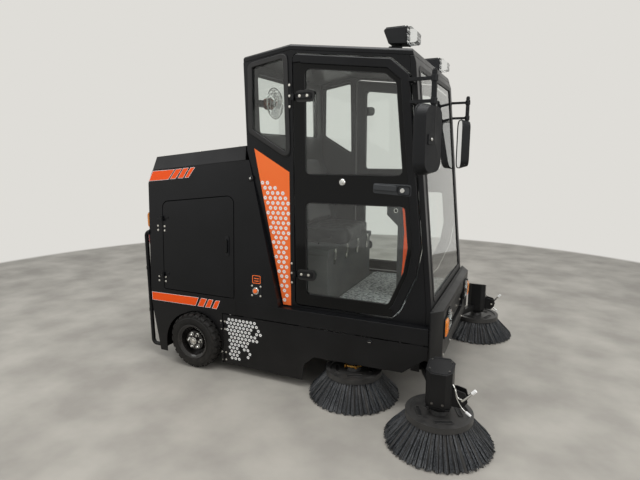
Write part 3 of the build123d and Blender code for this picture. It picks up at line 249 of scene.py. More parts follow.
CAD_FINISHES = (
    (body_black, "cab_base rear_body hood_cover nose cab_rear_wall cab_front_frame cab_roof cab_side_right"
     " cab_side_left cab_door_right cab_door_left access_door_right access_door_left side_panel_right"
     " side_panel_left rear_guards"),
    (frame_grey, "chassis_rails cross_members roller_hanger brush_carriers steering_head rear_axle"
     " steering_fork rear_panel front_arm_right front_arm_left seat_box"),
    (tyre_rubber, "rear_tyre_right rear_tyre_left front_tyre"),
    (rim_enamel, "rear_rim_right rear_rim_left front_rim"),
    (disc_plastic, "front_brush_right front_brush_left mid_brush_right mid_brush_left roller_brush"),
    (safety_glass, "windscreen cab_panes door_panes_right door_panes_left"),
    (clear_lens, "headlamp_lenses roof_lamp_lenses"),
    (amber_lens, "indicator_lenses rear_lamps_amber"),
    (red_lens, "rear_lamps_red"),
    (seat_vinyl, "seat"),
    (grained_plastic, "steering_wheel cab_fan mirror_right mirror_left roof_lamps"),
    (console_grey, "console"),
    (battery_case, "battery_block"),
)
for finish, names in CAD_FINISHES:
    for node in names.split():
        slots = frame["nodes"][node].data.materials
        slots.clear()
        slots.append(finish)


# Faces that shapes are drawn on: a matrix from millimetres along, up and out of the face
def face(origin, along, up):
    """The face through origin whose drawing axes are along and up; it looks along their cross."""
    a, u = Vector(along).normalized(), Vector(up).normalized()
    turn = Matrix((a, u, a.cross(u))).transposed().to_4x4()
    return Matrix.Translation(Vector(origin) * MM) @ turn @ Matrix.Scale(MM, 4)


LEAN = atan2(44, 823)                                             # of the rear body's sides
LOWER_SIDE = face((0, -600, 0), (1, 0, 0), (0, 0, 1))
CAB_SIDE = face((0, -548, 0), (1, 0, 0), (0, 0, 1))
FLANK = face((0, -600, 505), (1, 0, 0), (0, sin(LEAN), cos(LEAN)))
REAR = face((-1138, 0, 0), (0, -1, 0), (0, 0, 1))
NOSE = face((879, 0, 0), (0, 1, 0), (0, 0, 1))
SCREEN = face((819, 0, 598), (0, 1, 0), (690 - 819, 0, 1893 - 598))
HOOD_RISE = atan2(1399 - 1328, 1098 - 342)
GROUND = face((0, 0, 0), (1, 0, 0), (0, 1, 0))


def ring(radius, at=(0, 0), steps=32):
    """The corners of a circle on a face."""
    return [
        (at[0] + radius * cos(2 * pi * i / steps), at[1] + radius * sin(2 * pi * i / steps)) for i in range(steps)
    ]


def rows(bm, where, *outlines):
    """A row of corners for each outline on a face and its height above it."""
    return [[bm.verts.new(where @ Vector((a, b, h))) for a, b in line] for line, h in outlines]


def band(bm, first, second):
    """The strip of faces between two rows of corners, or a cone where one row is a point."""
    count = max(len(first), len(second))
    for i in range(count):
        j = (i + 1) % count
        if len(first) == 1 < count:
            bm.faces.new((first[0], second[i], second[j]))
        elif len(second) == 1 < count:
            bm.faces.new((first[i], first[j], second[0]))
        elif count > 1:
            bm.faces.new((first[i], first[j], second[j], second[i]))


def closed(bm, rings):
    """The solid between rows of corners, with a lid on both its ends."""
    bm.faces.new(rings[0][::-1])
    bm.faces.new(rings[-1])
    for first, second in zip(rings, rings[1:]):
        band(bm, first, second)


def slab(bm, where, outline, low, high):
    """A closed plate: its outline on a face, from low to high above it."""
    closed(bm, rows(bm, where, (outline, low), (outline, high)))


def hoop(bm, where, outer, inner, low, high):
    """A closed plate with a hole: the two outlines have as many corners."""
    rings = rows(bm, where, (outer, low), (outer, high), (inner, high), (inner, low))
    for first, second in zip(rings, rings[1:] + rings[:1]):
        band(bm, first, second)


def turned(bm, where, outline, steps=32, at=(0, 0)):
    """A round solid about a face's outward line at a point: its outline is (radius, height)."""
    rings = rows(bm, where, *((ring(r, at, steps if r > 0 else 1), h) for r, h in outline))
    for first, second in zip(rings, rings[1:]):
        band(bm, first, second)


CORNER_MOST = 0.45  # the most of an edge that a rounded corner takes at each end


def curve(first, here, last, steps):
    """Points of a quadratic curve that leaves first and reaches last, drawn towards here."""
    for k in range(steps + 1):
        t = k / steps
        yield (1 - t) ** 2 * first + 2 * t * (1 - t) * here + t * t * last


def arcs(corners, radius, steps=5):
    """An outline with its corners rounded to a radius."""
    made = []
    for i, corner in enumerate(corners):
        here = Vector(corner)
        back, ahead = Vector(corners[i - 1]) - here, Vector(corners[(i + 1) % len(corners)]) - here
        half = back.angle(ahead) / 2
        reach = min(radius / tan(half), back.length * CORNER_MOST, ahead.length * CORNER_MOST)
        first, last = here + back.normalized() * reach, here + ahead.normalized() * reach
        made += [tuple(point) for point in curve(first, here, last, steps)]
    return made


def shifted(outline, grow):
    """An outline moved outwards all round by grow, with as many corners."""
    count = len(outline)
    area = sum(outline[i - 1][0] * outline[i][1] - outline[i][0] * outline[i - 1][1] for i in range(count))
    sign = 1 if area > 0 else -1
    made = []
    for i in range(count):
        here = Vector(outline[i])
        a, b = (here - Vector(outline[i - 1])).normalized(), (Vector(outline[(i + 1) % count]) - here).normalized()
        normal = Vector((a.y + b.y, -a.x - b.x)) * sign
        if normal.length < 1e-6:
            normal = Vector((a.y, -a.x)) * sign
        normal.normalize()
        made.append(tuple(here + normal * grow / max(0.5, normal.dot(Vector((a.y, -a.x)) * sign))))
    return made


def bar(bm, points, radius, sides=12, endless=False):
    """A round bar through points in millimetres of the part's frame, with closed ends or endless."""
    path = [Vector(p) for p in points]
    count = len(path)
    rings = []
    across = None
    for i, here in enumerate(path):
        back = path[i - 1] if i or endless else here
        ahead = path[(i + 1) % count] if i < count - 1 or endless else here
        line = (ahead - back).normalized()
        across = across or line.orthogonal().normalized()
        across = (across - line * across.dot(line)).normalized()
        size = radius[i] if isinstance(radius, list) else radius
        section = Matrix((across, line.cross(across), line)).transposed().to_4x4()
        rings += rows(bm, Matrix.Scale(MM, 4) @ Matrix.Translation(here) @ section, (ring(size, steps=sides), 0))
    if endless:
        for first, second in zip(rings, rings[1:] + rings[:1]):
            band(bm, first, second)
    else:
        closed(bm, rings)


def bent(points, radius, steps=6):
    """A run of straight lines with its inner corners rounded."""
    path = [Vector(p) for p in points]
    made = [path[0]]
    for back, here, ahead in zip(path, path[1:], path[2:]):
        first, last = (
            here + (end - here).normalized() * min(radius, (end - here).length * CORNER_MOST) for end in (back, ahead)
        )
        made += curve(first, here, last, steps)
    return made + [path[-1]]


SHARP, ROUNDED = radians(35), radians(30)  # edges that are shaded sharp, and those that are rounded
TOUCHING, FLAT = 0.02 * MM, radians(1)     # corners that are one, and faces that are one
SIDES = (("right", 1), ("left", -1))       # shapes are drawn on the right; the left is their mirror image


def gathered(name, bm):
    """Makes a gathered mesh into an object, its faces looking outwards."""
    bmesh.ops.recalc_face_normals(bm, faces=bm.faces)
    mesh = bpy.data.meshes.new(name)
    bm.to_mesh(mesh)
    bm.free()
    made = bpy.data.objects.new(name, mesh)
    scene.collection.objects.link(made)
    return made


def piece(name, bm, finish, body, bevel=0.0, segments=2, slot=None):
    """Makes a gathered mesh into a piece of the machine that rides on a body."""
    made = gathered(name, bm)
    made.data.shade_smooth()
    made.data.set_sharp_from_angle(angle=SHARP)
    made.data.materials.append(finish)
    if bevel:
        rounding = made.modifiers.new("rounded_edges", "BEVEL")
        rounding.width, rounding.segments = bevel * MM, segments
        rounding.limit_method, rounding.angle_limit = "ANGLE", ROUNDED
        rounding.use_clamp_overlap, rounding.harden_normals = True, True
    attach(made, body)
    return made


def sided(body, side):
    """The body on a side: the machine, or the one of two that is named for the side."""
    return body if body == "machine" else f"{body}_{side}"


def drawn(shapes):
    """The mesh of a shape or of a list of shapes: each is its function and what that takes."""
    bm = bmesh.new()
    for draw, *given in shapes if isinstance(shapes, list) else [shapes]:
        draw(bm, *given)
    return bm


def one(name, shapes, finish, body="machine", **how):
    """A single piece."""
    return piece(name, drawn(shapes), finish, body, **how)


def pair(name, shapes, finish, body="machine", **how):
    """A piece that is drawn on the right, and its mirror image on the left."""
    for side, flip in SIDES:
        bm = drawn(shapes)
        if flip < 0:
            bmesh.ops.scale(bm, vec=(1, -1, 1), verts=bm.verts)
        piece(f"{name}_{side}", bm, finish, sided(body, side), **how)


def cad_copy(node):
    """A CAD node's mesh, merged, and without the edges inside its flat faces."""
    bm = bmesh.new()
    bm.from_mesh(frame["nodes"][node].data)
    bmesh.ops.remove_doubles(bm, verts=bm.verts, dist=TOUCHING)
    bmesh.ops.dissolve_limit(bm, angle_limit=FLAT, verts=bm.verts, edges=bm.edges)
    return bm


def finished(node, bm, width, finish=body_black, segments=2):
    """Stands for a CAD node, its long edges rounded as pressed sheet is."""
    body = frame["nodes"][node]["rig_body"]
    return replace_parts(piece(node + "_finished", bm, finish, body, bevel=width, segments=segments), node)


for names, width, finish, segments in (
    ("rear_body hood_cover nose cab_base", 3.2, body_black, 2),
    ("cab_roof cab_front_frame cab_rear_wall cab_side_right cab_side_left", 4.0, body_black, 2),
    ("cab_door_right cab_door_left", 3.0, body_black, 2),
    ("access_door_right access_door_left side_panel_right side_panel_left", 2.6, body_black, 2),
    ("front_arm_right front_arm_left", 3.0, body_black, 3),
    ("seat_box", 5.0, lining_grey, 3),
    ("rear_panel", 2.0, body_black, 3),
    ("roof_lamps", 5.0, grained_plastic, 3),
    ("steering_wheel", 3.0, grained_plastic, 3),
):
    for node in names.split():
        finished(node, cad_copy(node), width, finish, segments)


# Trees of nodes for what repeats
def applied(made):
    """Replaces an object's mesh with what its modifiers make of it."""
    result = bpy.data.meshes.new_from_object(made.evaluated_get(bpy.context.evaluated_depsgraph_get()))
    made.modifiers.clear()
    made.data = result
    return result


def grown(name, points, tree, finish, body, sizes):
    """Runs a tree over a mesh of points and keeps the result as one plain piece."""
    mesh = bpy.data.meshes.new(name)
    mesh.from_pydata([Vector(p) * MM for p in points], [], [])
    made = bpy.data.objects.new(name, mesh)
    scene.collection.objects.link(made)
    grower = made.modifiers.new("grower", "NODES")
    grower.node_group = tree
    named = {s.name: s.identifier for s in tree.interface.items_tree if s.in_out == "INPUT"}
    for label, value in {**sizes, "Finish": finish}.items():
        grower[named[label]] = value
    applied(made)
    bpy.data.meshes.remove(mesh)
    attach(made, body)
    return made


def new_tree(name, sockets):
    """An empty geometry tree with named inputs, and the outputs of its group input."""
    tree = bpy.data.node_groups.new(name, "GeometryNodeTree")
    tree.interface.new_socket("Geometry", in_out="INPUT", socket_type="NodeSocketGeometry")
    for label, kind, value in sockets:
        made = tree.interface.new_socket(label, in_out="INPUT", socket_type="NodeSocket" + kind)
        if value is not None:
            made.default_value = value
    tree.interface.new_socket("Finish", in_out="INPUT", socket_type="NodeSocketMaterial")
    tree.interface.new_socket("Geometry", in_out="OUTPUT", socket_type="NodeSocketGeometry")
    return tree, tree.nodes.new("NodeGroupInput").outputs


def end_tree(tree, given, points, instance, facing, scale=(1.0, 1.0, 1.0)):
    """Puts an instance on each point, its Z axis along facing, and joins them into one mesh."""
    aim = add(tree, "FunctionNodeAlignRotationToVector", {"Vector": facing}, axis="Z")
    instances = add(tree, "GeometryNodeInstanceOnPoints", {
        "Points": points, "Instance": instance, "Rotation": aim, "Scale": scale,
    })
    solid = add(tree, "GeometryNodeRealizeInstances", {"Geometry": instances})
    add(tree, "NodeGroupOutput", {
        0: add(tree, "GeometryNodeSetMaterial", {"Geometry": solid, "Material": given["Finish"]}),
    })
    return tree


def strand_rows(tree, given, rows, each, spans):
    """A point for each strand, the number of its row, and a table of random values."""
    count = add(tree, "ShaderNodeMath", {0: given[rows], 1: given[each]}, operation="MULTIPLY")
    index = add(tree, "GeometryNodeInputIndex")
    share = add(tree, "ShaderNodeMath", {0: index, 1: given[each]}, operation="DIVIDE")
    chances = {}
    for offset, (label, low, high) in enumerate(spans, 1):
        seed = add(tree, "ShaderNodeMath", {0: given["Seed"], 1: float(offset)}, operation="ADD")
        chances[label] = add(tree, "FunctionNodeRandomValue", {
            "Min_001": low, "Max_001": high, "Seed": seed,
        }).outputs["Value"]
    points = add(tree, "GeometryNodePoints", {"Count": count})
    return points, add(tree, "ShaderNodeMath", {0: share}, operation="FLOOR"), chances


def row_turn(tree, row, chance, rows):
    """The angle of a row that is one of rows round a circle, with some chance added."""
    place = add(tree, "ShaderNodeMath", {0: row, 1: chance}, operation="ADD")
    step = add(tree, "ShaderNodeMath", {0: 2 * pi, 1: rows}, operation="DIVIDE")
    return add(tree, "ShaderNodeMath", {0: place, 1: step}, operation="MULTIPLY")


def end_strands(tree, given, points, root, tip, strand):
    """Runs a strand of unit length from each root to its tip, round the given centre."""
    run = add(tree, "ShaderNodeVectorMath", {0: tip, 1: root}, operation="SUBTRACT")
    length = add(tree, "ShaderNodeVectorMath", {0: run}, operation="LENGTH").outputs["Value"]
    placed = add(tree, "GeometryNodeSetPosition", {
        "Geometry": points,
        "Position": add(tree, "ShaderNodeVectorMath", {0: root, 1: given["Centre"]}, operation="ADD"),
    })
    width = add(tree, "ShaderNodeCombineXYZ", {
        "X": given["Bristle width"], "Y": given["Bristle width"], "Z": length,
    })
    return end_tree(tree, given, placed, strand, run, width)


def bristle_tree():
    """Flaring tufts: each bristle runs from a ring of roots to a ring of tips below it."""
    tree, given = new_tree("flaring_bristles", (
        ("Tufts", "Int", 36), ("Bristles in a tuft", "Int", 30), ("Root radius", "Float", 0.15),
        ("Tip radius", "Float", 0.27), ("Root height", "Float", 0.14), ("Tip height", "Float", 0.004),
        ("Bristle width", "Float", 0.003), ("Centre", "Vector", None), ("Seed", "Int", 7),
    ))
    points, tuft, chances = strand_rows(tree, given, "Tufts", "Bristles in a tuft", (
        ("place", -0.24, 0.24), ("turn", -0.022, 0.022), ("root", -0.016, 0.0), ("lift", 0.0, 0.010),
        ("reach", -0.034, 0.0),
    ))
    root_turn = row_turn(tree, tuft, chances["place"], given["Tufts"])
    ends = []
    for radius, wobble, height, turn in (
        ("Root radius", "root", given["Root height"], root_turn),
        ("Tip radius", "reach",
         add(tree, "ShaderNodeMath", {0: given["Tip height"], 1: chances["lift"]}, operation="ADD"),
         add(tree, "ShaderNodeMath", {0: root_turn, 1: chances["turn"]}, operation="ADD")),
    ):
        reach = add(tree, "ShaderNodeMath", {0: given[radius], 1: chances[wobble]}, operation="ADD")
        start = add(tree, "ShaderNodeCombineXYZ", {"X": reach, "Z": height})
        ends.append(add(tree, "ShaderNodeVectorRotate", {"Vector": start, "Angle": turn}, rotation_type="Z_AXIS"))
    line = add(tree, "GeometryNodeCurveQuadraticBezier", {
        "Resolution": 3, "Start": (0, 0, 0), "Middle": (0, 0.07, 0.5), "End": (0, 0, 1),
    })
    section = add(tree, "GeometryNodeCurvePrimitiveCircle", {"Resolution": 3, "Radius": 0.5})
    bristle = add(tree, "GeometryNodeCurveToMesh", {"Curve": line, "Profile Curve": section, "Fill Caps": True})
    return end_strands(tree, given, points, *ends, bristle)


def roller_tree():
    """Rows of straight bristles round a roller, each row a line along it."""
    tree, given = new_tree("roller_bristles", (
        ("Rows", "Int", 16), ("Bristles in a row", "Int", 300), ("Root radius", "Float", 0.12),
        ("Tip radius", "Float", 0.157), ("Half length", "Float", 0.46), ("Bristle width", "Float", 0.003),
        ("Centre", "Vector", None), ("Seed", "Int", 5),
    ))
    points, row, chances = strand_rows(tree, given, "Rows", "Bristles in a row", (
        ("along", -1.0, 1.0), ("turn", -0.13, 0.13), ("reach", -0.006, 0.0),
    ))
    along = add(tree, "ShaderNodeMath", {0: given["Half length"], 1: chances["along"]}, operation="MULTIPLY")
    turn = row_turn(tree, row, chances["turn"], given["Rows"])
    tip_radius = add(tree, "ShaderNodeMath", {0: given["Tip radius"], 1: chances["reach"]}, operation="ADD")
    ends = []
    for radius in (given["Root radius"], tip_radius):
        start = add(tree, "ShaderNodeCombineXYZ", {"X": radius, "Y": along})
        ends.append(add(tree, "ShaderNodeVectorRotate", {"Vector": start, "Angle": turn}, rotation_type="Y_AXIS"))
    bristle = add(tree, "GeometryNodeMeshCone", {
        "Vertices": 3, "Radius Bottom": 0.5, "Radius Top": 0.4, "Depth": 1.0,
    })
    return end_strands(tree, given, points, *ends, bristle)


def fastener_tree():
    """A hexagon or round head with a washer under it on each point, all facing one way."""
    tree, given = new_tree("fastener_heads", (
        ("Sides", "Int", 6), ("Head width", "Float", 0.013), ("Head height", "Float", 0.006),
        ("Washer width", "Float", 0.02), ("Facing", "Vector", None),
    ))
    half, rise, washer_half = (
        add(tree, "ShaderNodeMath", {0: given[label], 1: 0.5}, operation="MULTIPLY")
        for label in ("Head width", "Head height", "Washer width")
    )
    shank = add(tree, "GeometryNodeMeshCylinder", {
        "Vertices": given["Sides"], "Radius": half, "Depth": given["Head height"],
    })
    cap = add(tree, "GeometryNodeMeshCone", {
        "Vertices": given["Sides"], "Radius Bottom": half,
        "Radius Top": add(tree, "ShaderNodeMath", {0: half, 1: 0.84}, operation="MULTIPLY"),
        "Depth": add(tree, "ShaderNodeMath", {0: given["Head height"], 1: 0.18}, operation="MULTIPLY"),
    })
    washer = add(tree, "GeometryNodeMeshCylinder", {"Vertices": 20, "Radius": washer_half, "Depth": 0.0028})
    raised = [
        add(tree, "GeometryNodeTransform", {
            "Geometry": mesh, "Translation": add(tree, "ShaderNodeCombineXYZ", {"Z": height}),
        }) for mesh, height in ((shank, rise), (cap, given["Head height"]))
    ]
    head = add(tree, "GeometryNodeJoinGeometry", {0: [*raised, washer]})
    points = add(tree, "GeometryNodeMeshToPoints", {"Mesh": given["Geometry"]})
    return end_tree(tree, given, points, head, given["Facing"])


def hexagon_tree():
    """Flat hexagonal rings of film on points, all facing one way."""
    tree, given = new_tree("hexagon_rings", (
        ("Ring radius", "Float", 0.011), ("Line width", "Float", 0.0025), ("Film thickness", "Float", 0.0004),
        ("Facing", "Vector", None),
    ))
    hole = add(tree, "ShaderNodeMath", {0: given["Ring radius"], 1: given["Line width"]}, operation="SUBTRACT")
    lines = add(tree, "GeometryNodeJoinGeometry", {0: [
        add(tree, "GeometryNodeCurvePrimitiveCircle", {"Resolution": 6, "Radius": radius})
        for radius in (given["Ring radius"], hole)
    ]})
    flat = add(tree, "GeometryNodeFillCurve", {"Curve": lines}, mode="NGONS")
    top = add(tree, "GeometryNodeExtrudeMesh", {
        "Mesh": flat, "Offset Scale": given["Film thickness"], "Individual": False,
    }, mode="FACES")
    shell = add(tree, "GeometryNodeJoinGeometry", {0: [add(tree, "GeometryNodeFlipFaces", {"Mesh": flat}), top]})
    merged = add(tree, "GeometryNodeMergeByDistance", {"Geometry": shell, "Distance": 0.00001})
    points = add(tree, "GeometryNodeMeshToPoints", {"Mesh": given["Geometry"]})
    return end_tree(tree, given, points, merged, given["Facing"])


flaring_bristles, roller_bristles = bristle_tree(), roller_tree()
fastener_heads, hexagon_rings = fastener_tree(), hexagon_tree()


def fasteners(name, points, facing, finish=zinc, body="machine", sides=6, width=13.0, height=6.0, washer=20.0):
    """Screw heads or nuts with their washers at points, all facing one way; sizes in millimetres."""
    sizes = {
        "Sides": sides, "Head width": width * MM, "Head height": height * MM, "Washer width": washer * MM,
        "Facing": Vector(facing),
    }
    return grown(name, points, fastener_heads, finish, body, sizes)


def on(where, points, out=0.0):
    """Points of a face, in millimetres of the part's frame."""
    return [tuple((where @ Vector((a, b, out))) / MM) for a, b in points]


def placed_on_sides(where, spots, out):
    """For each side: its name, the points of a face there, and where the face looks."""
    facing = (where.to_3x3() @ Vector((0, 0, 1))).normalized()
    for side, flip in SIDES:
        points = [(x, flip * y, z) for x, y, z in on(where, spots, out)]
        yield side, points, Vector((facing.x, flip * facing.y, facing.z))


def side_fasteners(name, where, spots, out, body="machine", **how):
    """Fasteners at points of a face, on both sides of the machine."""
    for side, points, facing in placed_on_sides(where, spots, out):
        fasteners(f"{name}_{side}", points, facing, body=sided(body, side), **how)


def film(name, where, outlines, finish, low=0.2, high=0.6):
    """Cut shapes of thin film on a face, on both sides of the machine."""
    pair(name, [(slab, where, outline, low, high) for outline in outlines], finish)


def box(bm, low, high):
    """A block between two corners in millimetres of the part's frame."""
    slab(bm, GROUND, [(low[0], low[1]), (high[0], low[1]), (high[0], high[1]), (low[0], high[1])], low[2], high[2])


def rectangle(half_wide, half_high, at=(0, 0)):
    """The corners of a rectangle about a point."""
    a, b = at
    return [
        (a - half_wide, b - half_high), (a + half_wide, b - half_high), (a + half_wide, b + half_high),
        (a - half_wide, b + half_high),
    ]


def pad(half_wide, half_high, at, radius, steps=5):
    """A rectangle with rounded corners."""
    return arcs(rectangle(half_wide, half_high, at), radius, steps)


def profile(bm, where, edge, out, into, low, high):
    """A strip that follows an edge, from out of it to into it."""
    hoop(bm, where, shifted(edge, out), shifted(edge, -into), low, high)


# Stripes: a long leaning block and three narrower bars ahead of it, each with a pale edge
UPPER_STRIPE = (
    [(-1129, 752), (-1094, 817), (-908, 831), (-963, 766)], [(-945, 769), (-893, 832), (-845, 838), (-900, 773)],
    [(-877, 776), (-831, 839), (-790, 843), (-838, 778)], [(-819, 781), (-772, 844), (-739, 847), (-792, 782)],
)
LOWER_STRIPE = (
    [(-1131, 477), (-1131, 422), (-753, 426), (-726, 483)], [(-732, 426), (-701, 483), (-657, 482), (-688, 426)],
    [(-670, 426), (-639, 482), (-606, 482), (-633, 428)], [(-613, 426), (-583, 480), (-552, 482), (-579, 426)],
)
for name, where, blocks in (("upper_stripe", FLANK, UPPER_STRIPE), ("lower_stripe", LOWER_SIDE, LOWER_STRIPE)):
    film(name + "_edge", where, [shifted(outline, 2.2) for outline in blocks], white_film, high=0.35)
    film(name, where, blocks, orange_film, low=0.3)

# Orange panel ahead of the door's rear seam, with a lattice of white rings on its lower part
SIDE_PANEL = [(-285, 1469), (-46, 1329), (-47, 505), (-102, 505)]
SKIRT_LATTICE = [(-511, 387), (-188, 394), (-265, 84), (-492, 76)]
ROW_SHARE, HOLE_R = 0.866, 3.2  # a row's height in steps of the lattice, and a ring's hole in millimetres
sparkle = random.Random(12)
film("cab_orange_panel", CAB_SIDE, [SIDE_PANEL], orange_panel)


def inside(outline, a, b, margin=0.0):
    """Whether a point lies in an outline, at least a margin from its edges."""
    within = False
    for (x0, y0), (x1, y1) in zip(outline, outline[1:] + outline[:1]):
        if (y0 > b) != (y1 > b) and a < x0 + (b - y0) / (y1 - y0) * (x1 - x0):
            within = not within
        if abs((x1 - x0) * (y0 - b) - (x0 - a) * (y1 - y0)) < margin * hypot(x1 - x0, y1 - y0):
            return False
    return within


def lattice(outline, step, margin, keep):
    """Points of a honeycomb lattice inside an outline, where keep says so."""
    low_a, low_b = min(a for a, _ in outline), min(b for _, b in outline)
    wide = max(a for a, _ in outline) - low_a
    high = max(b for _, b in outline) - low_b
    row_step = step * ROW_SHARE
    points = []
    for row in range(int(high / row_step) + 1):
        for column in range(int(wide / step) + 2):
            a, b = low_a + (column + row % 2 / 2) * step, low_b + row * row_step
            if inside(outline, a, b, margin) and keep(a, b):
                points.append((a, b))
    return points


def honeycomb(name, where, points, out, radius, body="machine"):
    """Hexagons of white film with a small hole, on both sides of the machine."""
    for side, placed, facing in placed_on_sides(where, points, out):
        grown(f"{name}_{side}", placed, hexagon_rings, white_film, sided(body, side), {
            "Ring radius": radius * MM, "Line width": (radius - HOLE_R) * MM, "Facing": facing,
        })


honeycomb(
    "cab_panel_lattice", CAB_SIDE,
    lattice(SIDE_PANEL, 35.0, 11, lambda x, z: z < 1318 - 0.42 * (x + 285) - 40 * sparkle.random()), 0.5, 12.5,
)
honeycomb(
    "skirt_lattice", LOWER_SIDE,
    lattice(SKIRT_LATTICE, 28.0, 8, lambda x, z: sparkle.random() < 2.15 - (x + 511) / 170 - (387 - z) / 330),
    0.2, 11.0, "skirt",
)

# Fittings of the rear body's flank: lock, push button and its sign
LOCK_AT, BUTTON_AT = (-310, 784), (-271, 80)
pair("hood_lock", (turned, FLANK, [
    (0, 0.2), (19, 0.2), (19, 4), (16, 8), (9, 8), (8, 6.5), (0, 6.5),
], 40, LOCK_AT), grained_plastic, bevel=0.6)
pair("hood_lock_barrel", (turned, FLANK, [(0, 6), (6.5, 6), (6.5, 9), (5.6, 9.8), (0, 9.8)], 28, LOCK_AT), chrome)
pair("button_plate", (slab, FLANK, pad(39, 74, (-267, 116), 7), 0.2, 2.4), grained_plastic, bevel=0.5)
SIGN = rectangle(30, 26, (-267, 154))
# The sign: a thin frame round two plain bars
pair("button_sign", [(hoop, FLANK, arcs(SIGN, 8), arcs(shifted(SIGN, -4.5), 5), 2.2, 2.8)] + [
    (slab, FLANK, pad(17, 3, (-267, up), 2, 2), 2.2, 2.8) for up in (144, 160)
], orange_panel)
pair("button_collar", (turned, FLANK, [
    (0, 2.2), (23, 2.2), (23, 7), (20.5, 9.5), (14, 9.5), (14, 6), (0, 6),
], 36, BUTTON_AT), chrome)
pair("push_button", (turned, FLANK, [
    (0, 5), (13.4, 5), (13.4, 14), (12.2, 16), (0, 16.6),
], 32, BUTTON_AT), orange_panel)

# Round heads of the hinge, latch and button screws
for label, where, spots, out, body, size in (
    ("button_screws", FLANK, [(-298, 111), (-236, 111), (-298, 50), (-236, 50)], 2.4, "machine", 10),
    ("hatch_screws_fixed", FLANK, [(-1060, up + d) for up in (432, 78) for d in (-15, 15)], 0.2, "machine", 11),
    ("hatch_screws_moving", FLANK, [(-1002, up + d) for up in (432, 78) for d in (-15, 15)], 0.2, "hatch", 11),
    ("skirt_screws_fixed", LOWER_SIDE, [(-546, z + d) for z in (321, 106) for d in (-26, 26)], 0.2, "machine", 10),
    ("skirt_screws_moving", LOWER_SIDE, [(-516, z + d) for z in (321, 106) for d in (-26, 26)], 0.2, "skirt", 10),
):
    side_fasteners(label, where, spots, out, body, sides=16, width=size, height=3.5, washer=size + 3)

# Cab doors: glossy fired frit round both panes, hinge plates, pull handle with its lock
DOOR_EDGE = [
    (-12, 520), (-12, 1989), (560, 1919), (660, 1835), (751, 925), (728, 770), (645, 570), (600, 520),
]
FRIT_EDGE = [(-8, 524), (-8, 1939), *shifted(DOOR_EDGE, -49)[2:7], (598, 524)]
BELT_LOW, BELT_HIGH = 1155, 1315
BELT_MID = (BELT_LOW + BELT_HIGH) / 2


def clipped(outline, low, high):
    """The part of an outline between two heights."""
    for level, sign in ((low, 1), (high, -1)):
        kept = []
        for (x0, y0), (x1, y1) in zip(outline, outline[1:] + outline[:1]):
            stays, next_stays = sign * (y0 - level) >= 0, sign * (y1 - level) >= 0
            if stays:
                kept.append((x0, y0))
            if stays != next_stays:
                kept.append((x0 + (level - y0) / (y1 - y0) * (x1 - x0), level))
        outline = kept
    return outline


ABOVE_ALL = 3000  # millimetres
DOOR_GLASS = shifted(DOOR_EDGE, -70)
pair("door_frit", [
    (hoop, CAB_SIDE, arcs(clipped(FRIT_EDGE, *frit), 3, 8), arcs(clipped(DOOR_GLASS, *clear), 44, 8), 0.2, 1.6)
    for frit, clear in (((0, BELT_MID), (0, BELT_LOW)), ((BELT_MID, ABOVE_ALL), (BELT_HIGH, ABOVE_ALL)))
], frit_black, "door")
pair("door_window_seal", [
    (profile, CAB_SIDE, arcs(clipped(shifted(DOOR_EDGE, -69), low, high), 22, 8), 0.5, 5, -5.8, 0.8)
    for low, high in ((0, BELT_LOW - 1), (BELT_HIGH + 1, ABOVE_ALL))
], seal_rubber, "door")

for label, z in (("lower", 708), ("upper", 1755)):
    pair(f"{label}_hinge_plate", (slab, CAB_SIDE, pad(10, 72, (-37, z + 8), 6), 0.2, 4.0), body_black, bevel=1.0)
    pair(f"{label}_hinge_pad", (
        slab, CAB_SIDE, pad(61, 33, (61, z + 3), 32, 8), 0.3, 3.6,
    ), seal_rubber, "door", bevel=1.2)
    pair(f"{label}_hinge_strap", (
        hoop, CAB_SIDE, pad(52.5, 19, (53.5, z + 5), 19, 8), pad(44.5, 10, (51.5, z + 5), 9, 8), 3.4, 9.0,
    ), body_black, "door", bevel=1.2)
    side_fasteners(
        f"{label}_hinge_screws", CAB_SIDE, [(-37, z - 52), (-37, z + 8), (-37, z + 68)], 4.0,
        sides=24, width=11, height=4, washer=14,
    )
    side_fasteners(
        f"{label}_strap_screws", CAB_SIDE, [(28, z + 5), (76, z + 5)], 3.6, "door",
        sides=24, width=13, height=5, washer=17,
    )

pair("door_handle_base", (
    slab, CAB_SIDE, arcs([(478, 1222), (690, 1208), (690, 1270), (478, 1276)], 12, 6), 0.3, 13.0,
), console_grey, "door", bevel=3.0, segments=3)
pair("door_handle_lever", (
    slab, CAB_SIDE, arcs([(482, 1240), (612, 1232), (612, 1266), (482, 1272)], 12, 6), 13.2, 26.0,
), console_grey, "door", bevel=5.0, segments=4)
pair("door_handle_well", (
    hoop, CAB_SIDE, arcs([(614, 1216), (686, 1212), (686, 1264), (614, 1266)], 16, 6),
    arcs([(620, 1221), (680, 1218), (680, 1258), (620, 1260)], 12, 6), 12.8, 17.0,
), grained_plastic, "door", bevel=1.5)
pair("door_handle_lock", (turned, CAB_SIDE, [
    (0, 12), (13, 12), (13, 19), (11.5, 21), (5, 21), (4.4, 19.6), (0, 19.6),
], 36, (642, 1240)), chrome, "door")

# Quarter windows, windscreen and rear window: rubber profiles round the glass
QUARTER = [(-298, 1948), (-62, 1986), (-50, 1420), (-304, 1572)]
REAR_WINDOW = face((-341, 0, 1737), (0, -1, 0), (-9, 0, 509))

